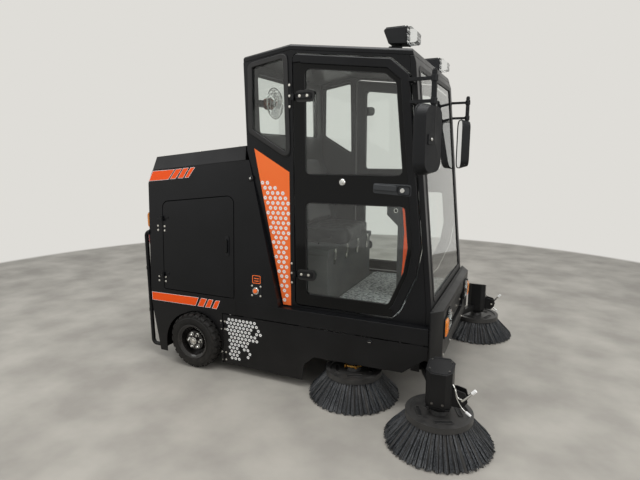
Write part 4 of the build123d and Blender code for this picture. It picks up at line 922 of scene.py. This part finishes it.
pair("quarter_window_seal", (
    profile, CAB_SIDE, arcs(QUARTER, 30, 8), 15, 14.5, -5.5, 9.0,
), seal_rubber, bevel=4.5, segments=4)
one("windscreen_seal", (
    profile, SCREEN, arcs(rectangle(474, 631, (0, 656)), 30, 8), 12, 15, -2.7, 3.6,
), seal_rubber, bevel=2.4, segments=3)
one("rear_window_seal", (
    profile, REAR_WINDOW, arcs(rectangle(430, 185), 40, 8), 13, 15, -7.0, 6.0,
), seal_rubber, bevel=3.0, segments=3)


# Nose: a near-black strip painted as the shade in the gap under the windscreen's sill, raised lamps, recess plate and
# screws
LAMPS = (("headlamp", -345, 484, 44, 61), ("indicator", -438, 468, 42, 52))
CROWN, LENS_CORNER = (1.0, 0.98, 0.9, 0.72, 0.45), 16  # share of a lens's width at each height, and its corners


def crowned(bm, where, at, half_wide, half_high, low, rises):
    """The crowned front of a lens, over the flat lens of the frame."""
    closed(bm, rows(bm, where, *(
        (pad(half_wide * share, half_high * share, at, LENS_CORNER * share, 6), low + rise)
        for share, rise in zip(CROWN, rises)
    )))


for (label, y, z, wide, high), lens, slot in zip(
    LAMPS, (clear_lens, amber_lens), ("lamp_lens_clear", "lamp_lens_amber"),
):
    pair(f"{label}_bezel", (
        hoop, NOSE, pad(wide + 7, high + 7, (y, z), 15, 6), pad(wide - 1.5, high - 1.5, (y, z), 9, 6), 0.2, 8.0,
    ), grained_plastic, bevel=2.2, segments=3)
    pair(f"{label}_dome", (crowned, NOSE, (y, z), wide - 3, high - 3, 3.0, (0, 6, 11, 15, 17.5)), lens, slot=slot)
pair("headlamp_reflectors", [(turned, NOSE, [
    (0, -11.6), (28, -11.6), (28, 3.0), (26.5, 3.0), (22, -5), (12, -9.5), (0, -10.4),
], 36, (-345, 484 + up)) for up in (-29, 29)], reflector)
pair("indicator_reflector", (slab, NOSE, pad(37, 47, (-438, 468), 8, 4), -11.6, -9.5), reflector)

NOSE_TOP = face((822, 0, 594), (0, 1, 0), (-57, 0, 11))
# Near-black strip on the sill: painted shade of the gap under the windscreen
one("nose_gap_painted_shade", (slab, NOSE_TOP, rectangle(566, 8, (0, -9)), 0.1, 1.2), seal_rubber)
one("recess_plate", (slab, NOSE, pad(266, 46, (0, 436), 12), -29.5, -16), body_black, bevel=3.0)
one("recess_shelf", (slab, NOSE, pad(272, 7, (0, 494), 3, 3), -29.5, -3), body_black, bevel=2.0)
fasteners(
    "recess_screws", on(NOSE, [(y, 436) for y in (-240, -80, 80, 240)], -16), (1, 0, 0),
    width=12, height=5, washer=16,
)
fasteners(
    "lip_screws", on(NOSE, [(y, 316) for y in (-470, -240, 240, 470)], 0.2), (1, 0, 0),
    sides=20, width=11, height=4, washer=15,
)

# Brush arms: lid and screws of the motor box, tilt adjuster with its strap and lever
BOX_X, BOX_Y = 925, -809
ADJUSTER_Y = BOX_Y - 24
ADJUSTER = [(985, 214), (1040, 214), (1064, 250), (1050, 296), (1004, 306), (985, 300)]
LID = [(-36, -68), (36, -68), (66, -38), (66, 38), (36, 68), (-36, 68), (-66, 38), (-66, -38)]
LID_FACE = face((BOX_X, BOX_Y, 397.5), (1, 0, 0), (0, 128, 35))
pair("adjuster_rod", (bar, bent([
    (1000, ADJUSTER_Y - 6, 316), (1012, ADJUSTER_Y - 12, 262), (1040, ADJUSTER_Y - 14, 218),
    (1062, ADJUSTER_Y - 15, 203),
], 30), 3.6), chrome, "arm")
pair("adjuster_rod_sleeve", (bar, [
    (1058, ADJUSTER_Y - 14.8, 206), (1082, ADJUSTER_Y - 15.6, 190),
], 6.4, 16), white_film, "arm")
# The sloping lid is a little wider than the box under it, and has a raised rim
pair("motor_box_lid", [
    (slab, LID_FACE, LID, 0.2, 4.5), (hoop, LID_FACE, shifted(LID, -7), shifted(LID, -13), 4.0, 7.0),
], body_black, "arm", bevel=1.4)
pair("motor_box_flange", (
    box, (BOX_X - 60, BOX_Y - 60, 197), (BOX_X + 60, BOX_Y + 60, 204),
), body_black, "arm", bevel=2.0)
pair("adjuster_plates", [
    (slab, face((0, y, 0), (1, 0, 0), (0, 0, 1)), arcs(ADJUSTER, 12, 5), 0, 6) for y in (ADJUSTER_Y, BOX_Y + 24)
], body_black, "arm", bevel=1.4)
pair("adjuster_strap", (bar, bent([
    (988, BOX_Y - 14, 322), (1004, ADJUSTER_Y - 8, 308), (1014, ADJUSTER_Y - 12, 268),
    (1044, ADJUSTER_Y - 10, 260), (1072, ADJUSTER_Y - 4, 290),
], 22), 4.5), chrome, "arm")
# The lever's cross shaft, and the arm that lifts from it
pair("adjuster_lever", [
    (bar, [(1040, ADJUSTER_Y - 18, 262), (1040, BOX_Y + 34, 262)], 7, 16),
    (bar, bent([
        (1044, ADJUSTER_Y - 14, 262), (1064, ADJUSTER_Y - 15, 284), (1088, ADJUSTER_Y - 16, 312),
    ], 14), 6.2, 14),
], chrome, "arm")
pair("adjuster_grip", (bar, [(1084, ADJUSTER_Y - 16, 307), (1099, ADJUSTER_Y - 16.6, 325)], 8.5, 16), white_film, "arm")
side_fasteners(
    "lid_screws", LID_FACE, [(-48, -30), (48, -30), (-48, 40), (48, 40)], 4.5, "arm",
    finish=steel, sides=20, width=7, height=3, washer=9,
)
side_fasteners(
    "foot_screws", face((BOX_X, BOX_Y - 64.2, 228), (1, 0, 0), (0, 0, 1)), [(-26, 0), (26, 0)], 0.0, "arm",
    finish=steel, width=10, height=5, washer=14,
)

# Discs of the side brushes: raised slot rims, and a near-black sheet in each slot that is painted shade of the slot's
# hollow
BRUSHES = (("front_brush", "front_rotor", 925, -809), ("mid_brush", "mid_rotor", 366, -528))
for stem, body, x, y in BRUSHES:
    disc = face((x, y, 156), (1, 0, 0), (0, 1, 0))
    slot_spins = [Matrix.Rotation(turn * pi / 2 + 0.4, 4, "Z") for turn in range(4)]
    slot_edges, slot_rims = (
        [[(spin @ Vector((a, b, 0))).xy for a, b in pad(half, deep, (0, 100), radius)] for spin in slot_spins]
        for half, deep, radius in ((44, 9, 8), (48, 13, 12))
    )
    pair(f"{stem}_slot_rims", [
        (hoop, disc, outer, inner, 0.2, 4.0) for outer, inner in zip(slot_rims, slot_edges)
    ], disc_plastic, body, bevel=1.0)
    # Near-black sheets inside the slot outlines: painted shade of the slots, not a part
    pair(f"{stem}_slots", [(slab, disc, edge, 0.1, 0.7) for edge in slot_edges], seal_rubber, body)

# Flange and nuts that hold the mid brush's motor
MOTOR_FOOT = face((366, -528, 185), (1, 0, 0), (0, 1, 0))
pair("motor_flange", (turned, MOTOR_FOOT, [
    (50.3, 1), (59, 1), (59, 9), (54, 14), (50.3, 14), (50.3, 1),
], 48), brass, bevel=1.0)
side_fasteners("motor_flange_nuts", MOTOR_FOOT, ring(66, steps=6), 2, finish=brass, width=11, height=9, washer=13)

# Bristles of the side brushes
for stem, body, x, y in BRUSHES:
    for (side, flip), seed in zip(SIDES, (3, 11)):
        grown(f"{stem}_bristles_{side}", [(0, 0, 0)], flaring_bristles, bristle_nylon, f"{body}_{side}", {
            "Tufts": 66, "Bristles in a tuft": 20, "Root radius": 0.158, "Tip radius": 0.274, "Root height": 0.138,
            "Tip height": 0.007, "Bristle width": 0.0042, "Centre": Vector((x * MM, flip * y * MM, 0)), "Seed": seed,
        })

# Wheels: nuts, hub ring, axle cap, rolled flange of the rim, and moulded rings on the tyre's wall
for body, x, y, sign in (
    ("rear_wheel_right", -748, -612, 1), ("rear_wheel_left", -748, 612, -1), ("front_wheel", 620, 0, 1),
):
    wheel = face((x, y, 189), (sign, 0, 0), (0, 0, 1))
    outward = wheel.to_3x3() @ Vector((0, 0, 1))
    fasteners(f"{body}_nuts", on(wheel, ring(46, steps=6), 16.2), outward, chrome, body, width=21, height=15, washer=27)
    one(f"{body}_hub_ring", (hoop, wheel, ring(26), ring(15.6), 30.1, 38), chrome, body, bevel=2.0, segments=3)
    one(f"{body}_axle_cap", (turned, wheel, [(0, 34.1), (14, 34.1), (14, 37), (9, 40), (0, 41)]), zinc, body)
    one(f"{body}_rim_flange", (turned, wheel, [
        (97, 33), (104, 36.6), (112, 41.2), (118, 45.4), (119.6, 48), (117, 49), (108, 45.5), (100, 40), (97, 37),
        (97, 33),
    ], 72), rim_enamel, body)
    one(f"{body}_wall_rings", [
        (hoop, wheel, ring(radius + 1.2, steps=72), ring(radius - 1.2, steps=72), low, low + 2.0)
        for radius, low in ((139, 45.9), (158.5, 45.4))
    ], tyre_rubber, body, bevel=0.5)
for tyre in ("rear_tyre_right", "rear_tyre_left", "front_tyre"):
    finished(tyre, cad_copy(tyre), 1.6, tyre_rubber)

grown("roller_bristles", [(0, 0, 0)], roller_bristles, bristle_nylon, "roller", {
    "Rows": 16, "Bristles in a row": 320, "Root radius": 0.121, "Tip radius": 0.157, "Half length": 0.455,
    "Bristle width": 0.0034, "Centre": Vector((-0.330, 0, 0.162)), "Seed": 5,
})

# Roof lamps: reflector and light cells behind the lens, rim, cooling ribs
ROOF_LAMP = face((625, -455, 2040), (0, 1, 0), (0, 0, 1))
pair("roof_lamp_reflector", (slab, ROOF_LAMP, pad(40, 34, (0, 0), 6, 4), 0.3, 2.0), reflector)
pair("roof_lamp_cells", [
    (turned, ROOF_LAMP, [(0, 2), (9.5, 2), (9.5, 4), (7, 8.5), (0, 10)], 20, (a, b))
    for a in (-24, 0, 24) for b in (-14, 14)
], clear_lens, slot="lamp_lens_clear")
pair("roof_lamp_rim", (
    hoop, ROOF_LAMP, pad(47.5, 45, (0, 0), 8), pad(42, 37, (0, 0), 5), -5, 3,
), grained_plastic, bevel=1.5)
pair("roof_lamp_ribs", [
    (box, (512, -455 + y - 2, 2082), (612, -455 + y + 2, 2088)) for y in range(-36, 37, 12)
], grained_plastic, bevel=0.8)

# Mirrors: silvered glass in its rim, and the clamps on the arm
MIRROR_TURN = radians(20)
MIRROR = face(
    (785 - 28 * cos(MIRROR_TURN), -628 + 28 * sin(MIRROR_TURN), 1503),
    (-sin(MIRROR_TURN), -cos(MIRROR_TURN), 0), (0, 0, 1),
)
pair("mirror_glass", (slab, MIRROR, pad(82, 168, (0, 0), 60, 8), 0.2, 1.8), mirror_silver)
pair("mirror_rim", (
    hoop, MIRROR, pad(90, 176, (0, 0), 66, 8), pad(83, 169, (0, 0), 60, 8), -4, 6,
), grained_plastic, bevel=2.5, segments=3)
MIRROR_BACK = face(
    (785 + 28 * cos(MIRROR_TURN), -628 - 28 * sin(MIRROR_TURN), 1503),
    (sin(MIRROR_TURN), cos(MIRROR_TURN), 0), (0, 0, 1),
)
ARC_AT, ARC_R, ARC_GROWN = (50, 136), 45, 26  # the head's corner arcs: centres, reach, how much wider they become
HEAD_DEEP = 90                                # further back than this lies the arm


def rounder_head(bm, flip):
    """Widens the corner arcs of the mirror head to those of a blown shell."""
    place = Matrix.Diagonal((1, flip, 1, 1)) @ MIRROR_BACK
    back = place.inverted()
    for v in bm.verts:
        a, b, out = back @ v.co
        da, db = abs(a) - ARC_AT[0], abs(b) - ARC_AT[1]
        if min(da, db) >= -0.5 and max(da, db) <= ARC_R and abs(out) < HEAD_DEEP:
            grow = 1 + ARC_GROWN / max(hypot(da, db), 1)
            v.co = place @ Vector((
                copysign(ARC_AT[0] - ARC_GROWN + da * grow, a), copysign(ARC_AT[1] - ARC_GROWN + db * grow, b), out,
            ))


for side, flip in SIDES:
    head = cad_copy("mirror_" + side)
    rounder_head(head, flip)
    finished("mirror_" + side, head, 10.0, grained_plastic, 3)
pair("mirror_pad", (slab, MIRROR_BACK, pad(24, 26, (-30, 0), 8, 4), -1, 5), grained_plastic, bevel=2.0)
pair("mirror_bolt", (turned, MIRROR_BACK, [(0, 4.6), (8, 4.6), (8, 9), (5.5, 12), (0, 12.6)], 24, (-30, 0)), chrome)
pair("mirror_clamps", [
    *((bar, [(802, -620, z - 15), (802, -620, z + 15)], 17, 24) for z in (1690, 1798)),
    (bar, [(802, -620, 1822), (802, -620, 1842)], [13, 9], 20),
    (bar, [(802, -620, 1560), (790, -626, 1560)], 20, 24),
], grained_plastic, bevel=1.5)

# Rear: louvre lips and screws of the panel, lamp bezels, flanges of the guard tubes, hood screws
SLOT_HEIGHTS = [1060 + (i - 2.5) * 34 for i in range(6)]
one("rear_louvres", [(slab, REAR, outline, low, high) for z in SLOT_HEIGHTS for outline, low, high in (
    (pad(312, 3, (0, z + 10), 2, 3), 7.5, 15), (rectangle(308, 2, (0, z + 3)), 2, 9),
)], body_black, bevel=1.2)
fasteners("rear_panel_screws", on(REAR, [
    (a, z) for z in (462, 700, 940, 1178) for a in (-462, 462)
] + [(a, z) for z in (462, 1178) for a in (-154, 154)], 8.2), (-1, 0, 0), sides=20, width=12, height=4, washer=17)
for label, z, lens in (("amber", 980, amber_lens), ("red", 855, red_lens)):
    at = (522.5, z)
    pair(f"rear_{label}_bezel", (
        hoop, REAR, pad(28, 60.5, at, 6, 4), pad(22.8, 55.3, at, 3, 4), 0.2, 14,
    ), grained_plastic, bevel=1.4)
    pair(f"rear_{label}_dome", (
        crowned, REAR, at, 21.5, 53.5, 34.2, (0, 6, 13, 18, 21.5),
    ), lens, slot="lamp_lens_" + label)
pair("guard_flanges", [
    (turned, REAR, [(14.3, 0.2), (27, 0.2), (27, 5), (14.3, 5), (14.3, 0.2)], 32, (562, 900)),
    *((bar, [(-1186, -562, z - 12), (-1186, -562, z + 12)], 16.5, 28) for z in (330, 640)),
], body_black, bevel=1.0)
HOOD_TOP = face((-1106, 0, 1415.6), (0, 1, 0), (-cos(HOOD_RISE), 0, -sin(HOOD_RISE)))
fasteners(
    "hood_screws", on(HOOD_TOP, [(a, b) for a in (-490, 490) for b in (-70, -370, -680)], 0.2),
    HOOD_TOP.to_3x3() @ Vector((0, 0, 1)), sides=20, width=13, height=5, washer=19,
)

# Turn latch of the lower panel, and the latch of the access door
pair("skirt_latch", (turned, LOWER_SIDE, [
    (0, 0.2), (15, 0.2), (15, 4), (12.5, 6.5), (0, 6.5),
], 32, (487, 373)), grained_plastic, "skirt")
pair("skirt_latch_slot", (slab, LOWER_SIDE, rectangle(9, 1.6, (487, 373)), 6.3, 8.2), chrome, "skirt")
pair("hatch_latch", (slab, FLANK, pad(15, 64, (-488, 349), 10), 0.2, 5.0), grained_plastic, "hatch", bevel=1.5)
pair("hatch_latch_grip", (
    slab, FLANK, pad(8, 44, (-488, 349), 7), 4.5, 15.0,
), frit_black, "hatch", bevel=3.0, segments=3)

# Cab: floor mat, latches of the seat box, lever, console fittings, fan
SEAT_FRONT = face((145, 0, 0), (0, 1, 0), (0, 0, 1))
CONSOLE_SIDE = face((0, -150, 0), (1, 0, 0), (0, 0, 1))
one("floor_mat", (
    slab, GROUND, arcs([(158, -512), (770, -512), (770, 512), (158, 512)], 30, 6), 497.3, 502,
), speckled_mat, bevel=1.5)

# Toggle latches: a catch on the lid, a lever plate under it and a wire bail
one("box_latches", [shape for y in (-318, -107, 107, 318) for shape in (
    (slab, SEAT_FRONT, pad(12, 11, (y, 828), 3, 3), 8.2, 12.5),
    (slab, SEAT_FRONT, pad(12, 22, (y, 758), 4, 3), 0.2, 7.0),
    (bar, [(161, y - 9, 826), (161, y + 9, 826), (158, y + 9, 770), (158, y - 9, 770)], 2.0, 8, True),
)], chrome, bevel=1.0)
one("seat_lever", (bar, bent([(30, -300, 858), (40, -300, 884), (108, -300, 908)], 20), 5.5), grained_plastic)
one("seat_lever_tip", (bar, [(104, -300, 906.5), (124, -300, 913.5)], [6.5, 5.0], 16), chrome)
KEY_AT = (500, 1082)
one("ignition_ring", (hoop, CONSOLE_SIDE, ring(15, KEY_AT), ring(9.5, KEY_AT), 0.2, 5.5), chrome, bevel=1.5)
one("ignition_barrel", (turned, CONSOLE_SIDE, [(0, 0.2), (9, 0.2), (9, 3), (0, 3)], 28, KEY_AT), grained_plastic)
film("console_strip", CONSOLE_SIDE, [[
    (540, 1108), (552, 1108), (575, 950), (586, 850), (584, 790), (556, 612), (544, 622), (552, 780), (556, 950),
]], orange_film)


def notched(node, outline, half):
    """A CAD node's mesh, less the block that a side outline sweeps to half its width on each side."""
    knife = gathered("knife", drawn((slab, CONSOLE_SIDE, outline, -half, half)))
    whole = gathered("whole", cad_copy(node))
    cut = whole.modifiers.new("cut", "BOOLEAN")
    cut.operation, cut.solver, cut.object = "DIFFERENCE", "EXACT", knife
    bm = bmesh.new()
    bm.from_mesh(applied(whole))
    for made in (knife, whole):
        bpy.data.objects.remove(made)
    return bm


finished("console", notched(
    "console", [(380, 460), (513, 460), (513, 984), (430, 1063), (380, 1063)], 400,
), 7.0, console_grey, 3)

FAN, FAN_R = face((-218, -400, 1742), (0, 1, 0), (0, 0, 1)), 95
# Wire cage of rings and spokes: (radius, height, wire) of each ring
FAN_RINGS = (
    *((radius, 15, 1.3) for radius in (24, 44, 62, 80)), *((radius, -15, 1.3) for radius in (44, 62, 80)),
    (FAN_R - 2, 0, 2.4),
)
SPOKE = [(22, 15), (78, 16), (FAN_R - 2, 0), (78, -16), (38, -15)]
cage = one("fan_cage", [
    (bar, on(FAN, ring(radius, steps=36), out), wire, 6, True) for radius, out, wire in FAN_RINGS
] + [
    (bar, bent([on(FAN, [(r * cos(turn), r * sin(turn))], out)[0] for r, out in SPOKE], 10, 3), 1.1, 5)
    for turn in (2 * pi * i / 20 for i in range(20))
], chrome)
one("fan_blades", [
    *((slab, FAN @ Matrix.Rotation(i * pi / 2, 4, "Z") @ Matrix.Rotation(0.42, 4, "X"),
       arcs([(16, -14), (74, -26), (74, 24), (16, 12)], 14, 5), -1, 1) for i in range(4)),
    (turned, FAN, [(0, -8), (19, -8), (19, 7), (14, 11), (0, 12)], 28),
], clear_lens)
one("fan_motor", (turned, FAN, [
    (0, -72), (28, -72), (34, -66), (34, -24), (26, -16), (0, -16),
], 36), copper_motor)
one("fan_mount", (box, (-316, -460, 1722), (-280, -390, 1762)), body_black, bevel=3.0)
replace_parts(cage, "cab_fan")
pair("belt_knob", (turned, CAB_SIDE, [
    (0, 1.5), (20, 1.5), (20, 5), (16, 9), (10, 9), (9, 12), (0, 12.5),
], 12, (292, 1276)), chrome, "door", bevel=1.0)


# Driver's seat: two stuffed vinyl cushions
CLOTH_FRAMES, SEAM_HALF, SEAM_DEEP = 20, 9.0, 7.0  # frames of cloth, and a seam's half width and depth
CUSHION_CORNER, VOXEL, PRESSURE = 45, 0.006, 4.0


def cushion(name, where, outline, low, high, crown, channels):
    """A stuffed pad on a face: a rounded block that is inflated as cloth, then seamed."""
    made = gathered(name, drawn((slab, where, arcs(outline, CUSHION_CORNER), low, high)))
    remesh = made.modifiers.new("voxels", "REMESH")
    remesh.mode, remesh.voxel_size = "VOXEL", VOXEL
    start = [v.co.copy() for v in applied(made).vertices]
    cloth = made.modifiers.new("cloth", "CLOTH")
    cloth.settings.use_pressure = True
    cloth.settings.uniform_pressure_force = PRESSURE
    cloth.settings.effector_weights.gravity = 0.0
    for step in range(1, CLOTH_FRAMES + 1):
        scene.frame_set(step)
    swollen = applied(made)
    scene.frame_set(1)
    for v, first in zip(swollen.vertices, start):
        shift = v.co - first
        if shift.length > crown * MM:
            v.co = first + shift.normalized() * crown * MM
    back = where.inverted()
    for v in made.data.vertices:
        a, b, out = back @ v.co
        for line in channels:
            depth = max(0.0, 1 - abs(b - line) / SEAM_HALF)
            if out > (low + high) / 2:
                v.co = where @ Vector((a, b, out - SEAM_DEEP * depth * depth * (3 - 2 * depth)))
    rounding = made.modifiers.new("rounded", "SUBSURF")
    rounding.levels = rounding.render_levels = 1
    made.data.shade_smooth()
    made.data.materials.clear()
    made.data.materials.append(seat_vinyl)
    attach(made, "machine")
    return made


SEAT_TOP = face((0, 0, 848.3), (0, 1, 0), (-1, 0, 0))
SEAT_BACK = face((-80, 0, 950), (0, 1, 0), (-110, 0, 470))
base_pad = cushion(
    "seat_cushion", SEAT_TOP, [(-222, -202), (222, -202), (222, 140), (-222, 140)], 8, 98, 10, (-90, 30),
)
cushion(
    "seat_backrest", SEAT_BACK, [(-212, 14), (212, 14), (200, 470), (-200, 470)], -86, -10, 10, (160, 310),
)
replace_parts(base_pad, "seat")


# Floor, backdrop and light
floor_paint = surface(
    "sealed_pale_concrete", "ACA89F", 0.55, 5.0, 0.12, second="8F8B84", share=0.8, patch=420, swing=0.12,
)
BACKDROP, FLOOR_R = "DFDDD8", 5.0  # beyond this distance in metres the floor turns into the pale backdrop


def backdrop_rays(tree):
    """1 for the rays that see the background: straight, off gloss and metal, and through glass."""
    rays = add(tree, "ShaderNodeLightPath").outputs
    seen = add(tree, "ShaderNodeMath", {0: rays["Is Camera Ray"], 1: rays["Is Glossy Ray"]}, operation="MAXIMUM")
    return add(tree, "ShaderNodeMath", {0: seen, 1: rays["Is Transmission Ray"]}, operation="MAXIMUM")


ground = floor_paint.node_tree
concrete, floor_output = (
    next(node for node in ground.nodes if node.bl_idname == kind)
    for kind in ("ShaderNodeBsdfPrincipled", "ShaderNodeOutputMaterial")
)
spot = add(ground, "ShaderNodeVectorMath", {
    0: add(ground, "ShaderNodeTexCoord").outputs["Object"], 1: (-0.2, 0.1, 0.0),
}, operation="SUBTRACT")
far = add(ground, "ShaderNodeMapRange", {
    "Value": add(ground, "ShaderNodeVectorMath", {0: spot}, operation="LENGTH").outputs["Value"],
    "From Min": FLOOR_R, "From Max": FLOOR_R + 0.12, "To Min": 0.0, "To Max": 1.0,
})
fade = add(ground, "ShaderNodeMath", {0: far, 1: backdrop_rays(ground)}, operation="MULTIPLY")
pale = add(ground, "ShaderNodeEmission", {"Color": colour(BACKDROP), "Strength": 1.0})
blended = add(ground, "ShaderNodeMixShader", {0: fade, 1: concrete, 2: pale})
ground.links.new(blended.outputs[0], floor_output.inputs["Surface"])

FLOOR_HALF, FLOOR_DEEP = 30000, 40  # in millimetres
floor = gathered("floor", drawn((slab, GROUND, rectangle(FLOOR_HALF, FLOOR_HALF), -FLOOR_DEEP, 0)))
floor.data.materials.append(floor_paint)

world = bpy.data.worlds.new("studio")
world.use_nodes = True
scene.world = world
sky = world.node_tree
sky.nodes.clear()
lighting = add(sky, "ShaderNodeBackground", {"Color": colour("F2F3F5"), "Strength": 0.63})
above = add(sky, "ShaderNodeBackground", {"Color": colour(BACKDROP), "Strength": 1.0})
add(sky, "ShaderNodeOutputWorld", {
    "Surface": add(sky, "ShaderNodeMixShader", {0: backdrop_rays(sky), 1: lighting, 2: above}),
})

for name, at, aim, size, power in (
    ("overhead", (0.3, -0.6, 4.4), (0, 0, 0.6), 3.4, 150.0),
    ("front_fill", (4.2, -2.6, 2.4), (0.4, -0.2, 0.9), 2.0, 44.0),
    ("rear_fill", (-3.6, -3.4, 2.8), (-0.4, -0.4, 0.9), 2.0, 26.0),
):
    lamp = bpy.data.objects.new(name, bpy.data.lights.new(name, "AREA"))
    lamp.data.shape, lamp.data.size, lamp.data.energy = "SQUARE", size, power
    lamp.location = at
    lamp.rotation_euler = (Vector(aim) - Vector(at)).to_track_quat("-Z", "Y").to_euler()
    scene.collection.objects.link(lamp)
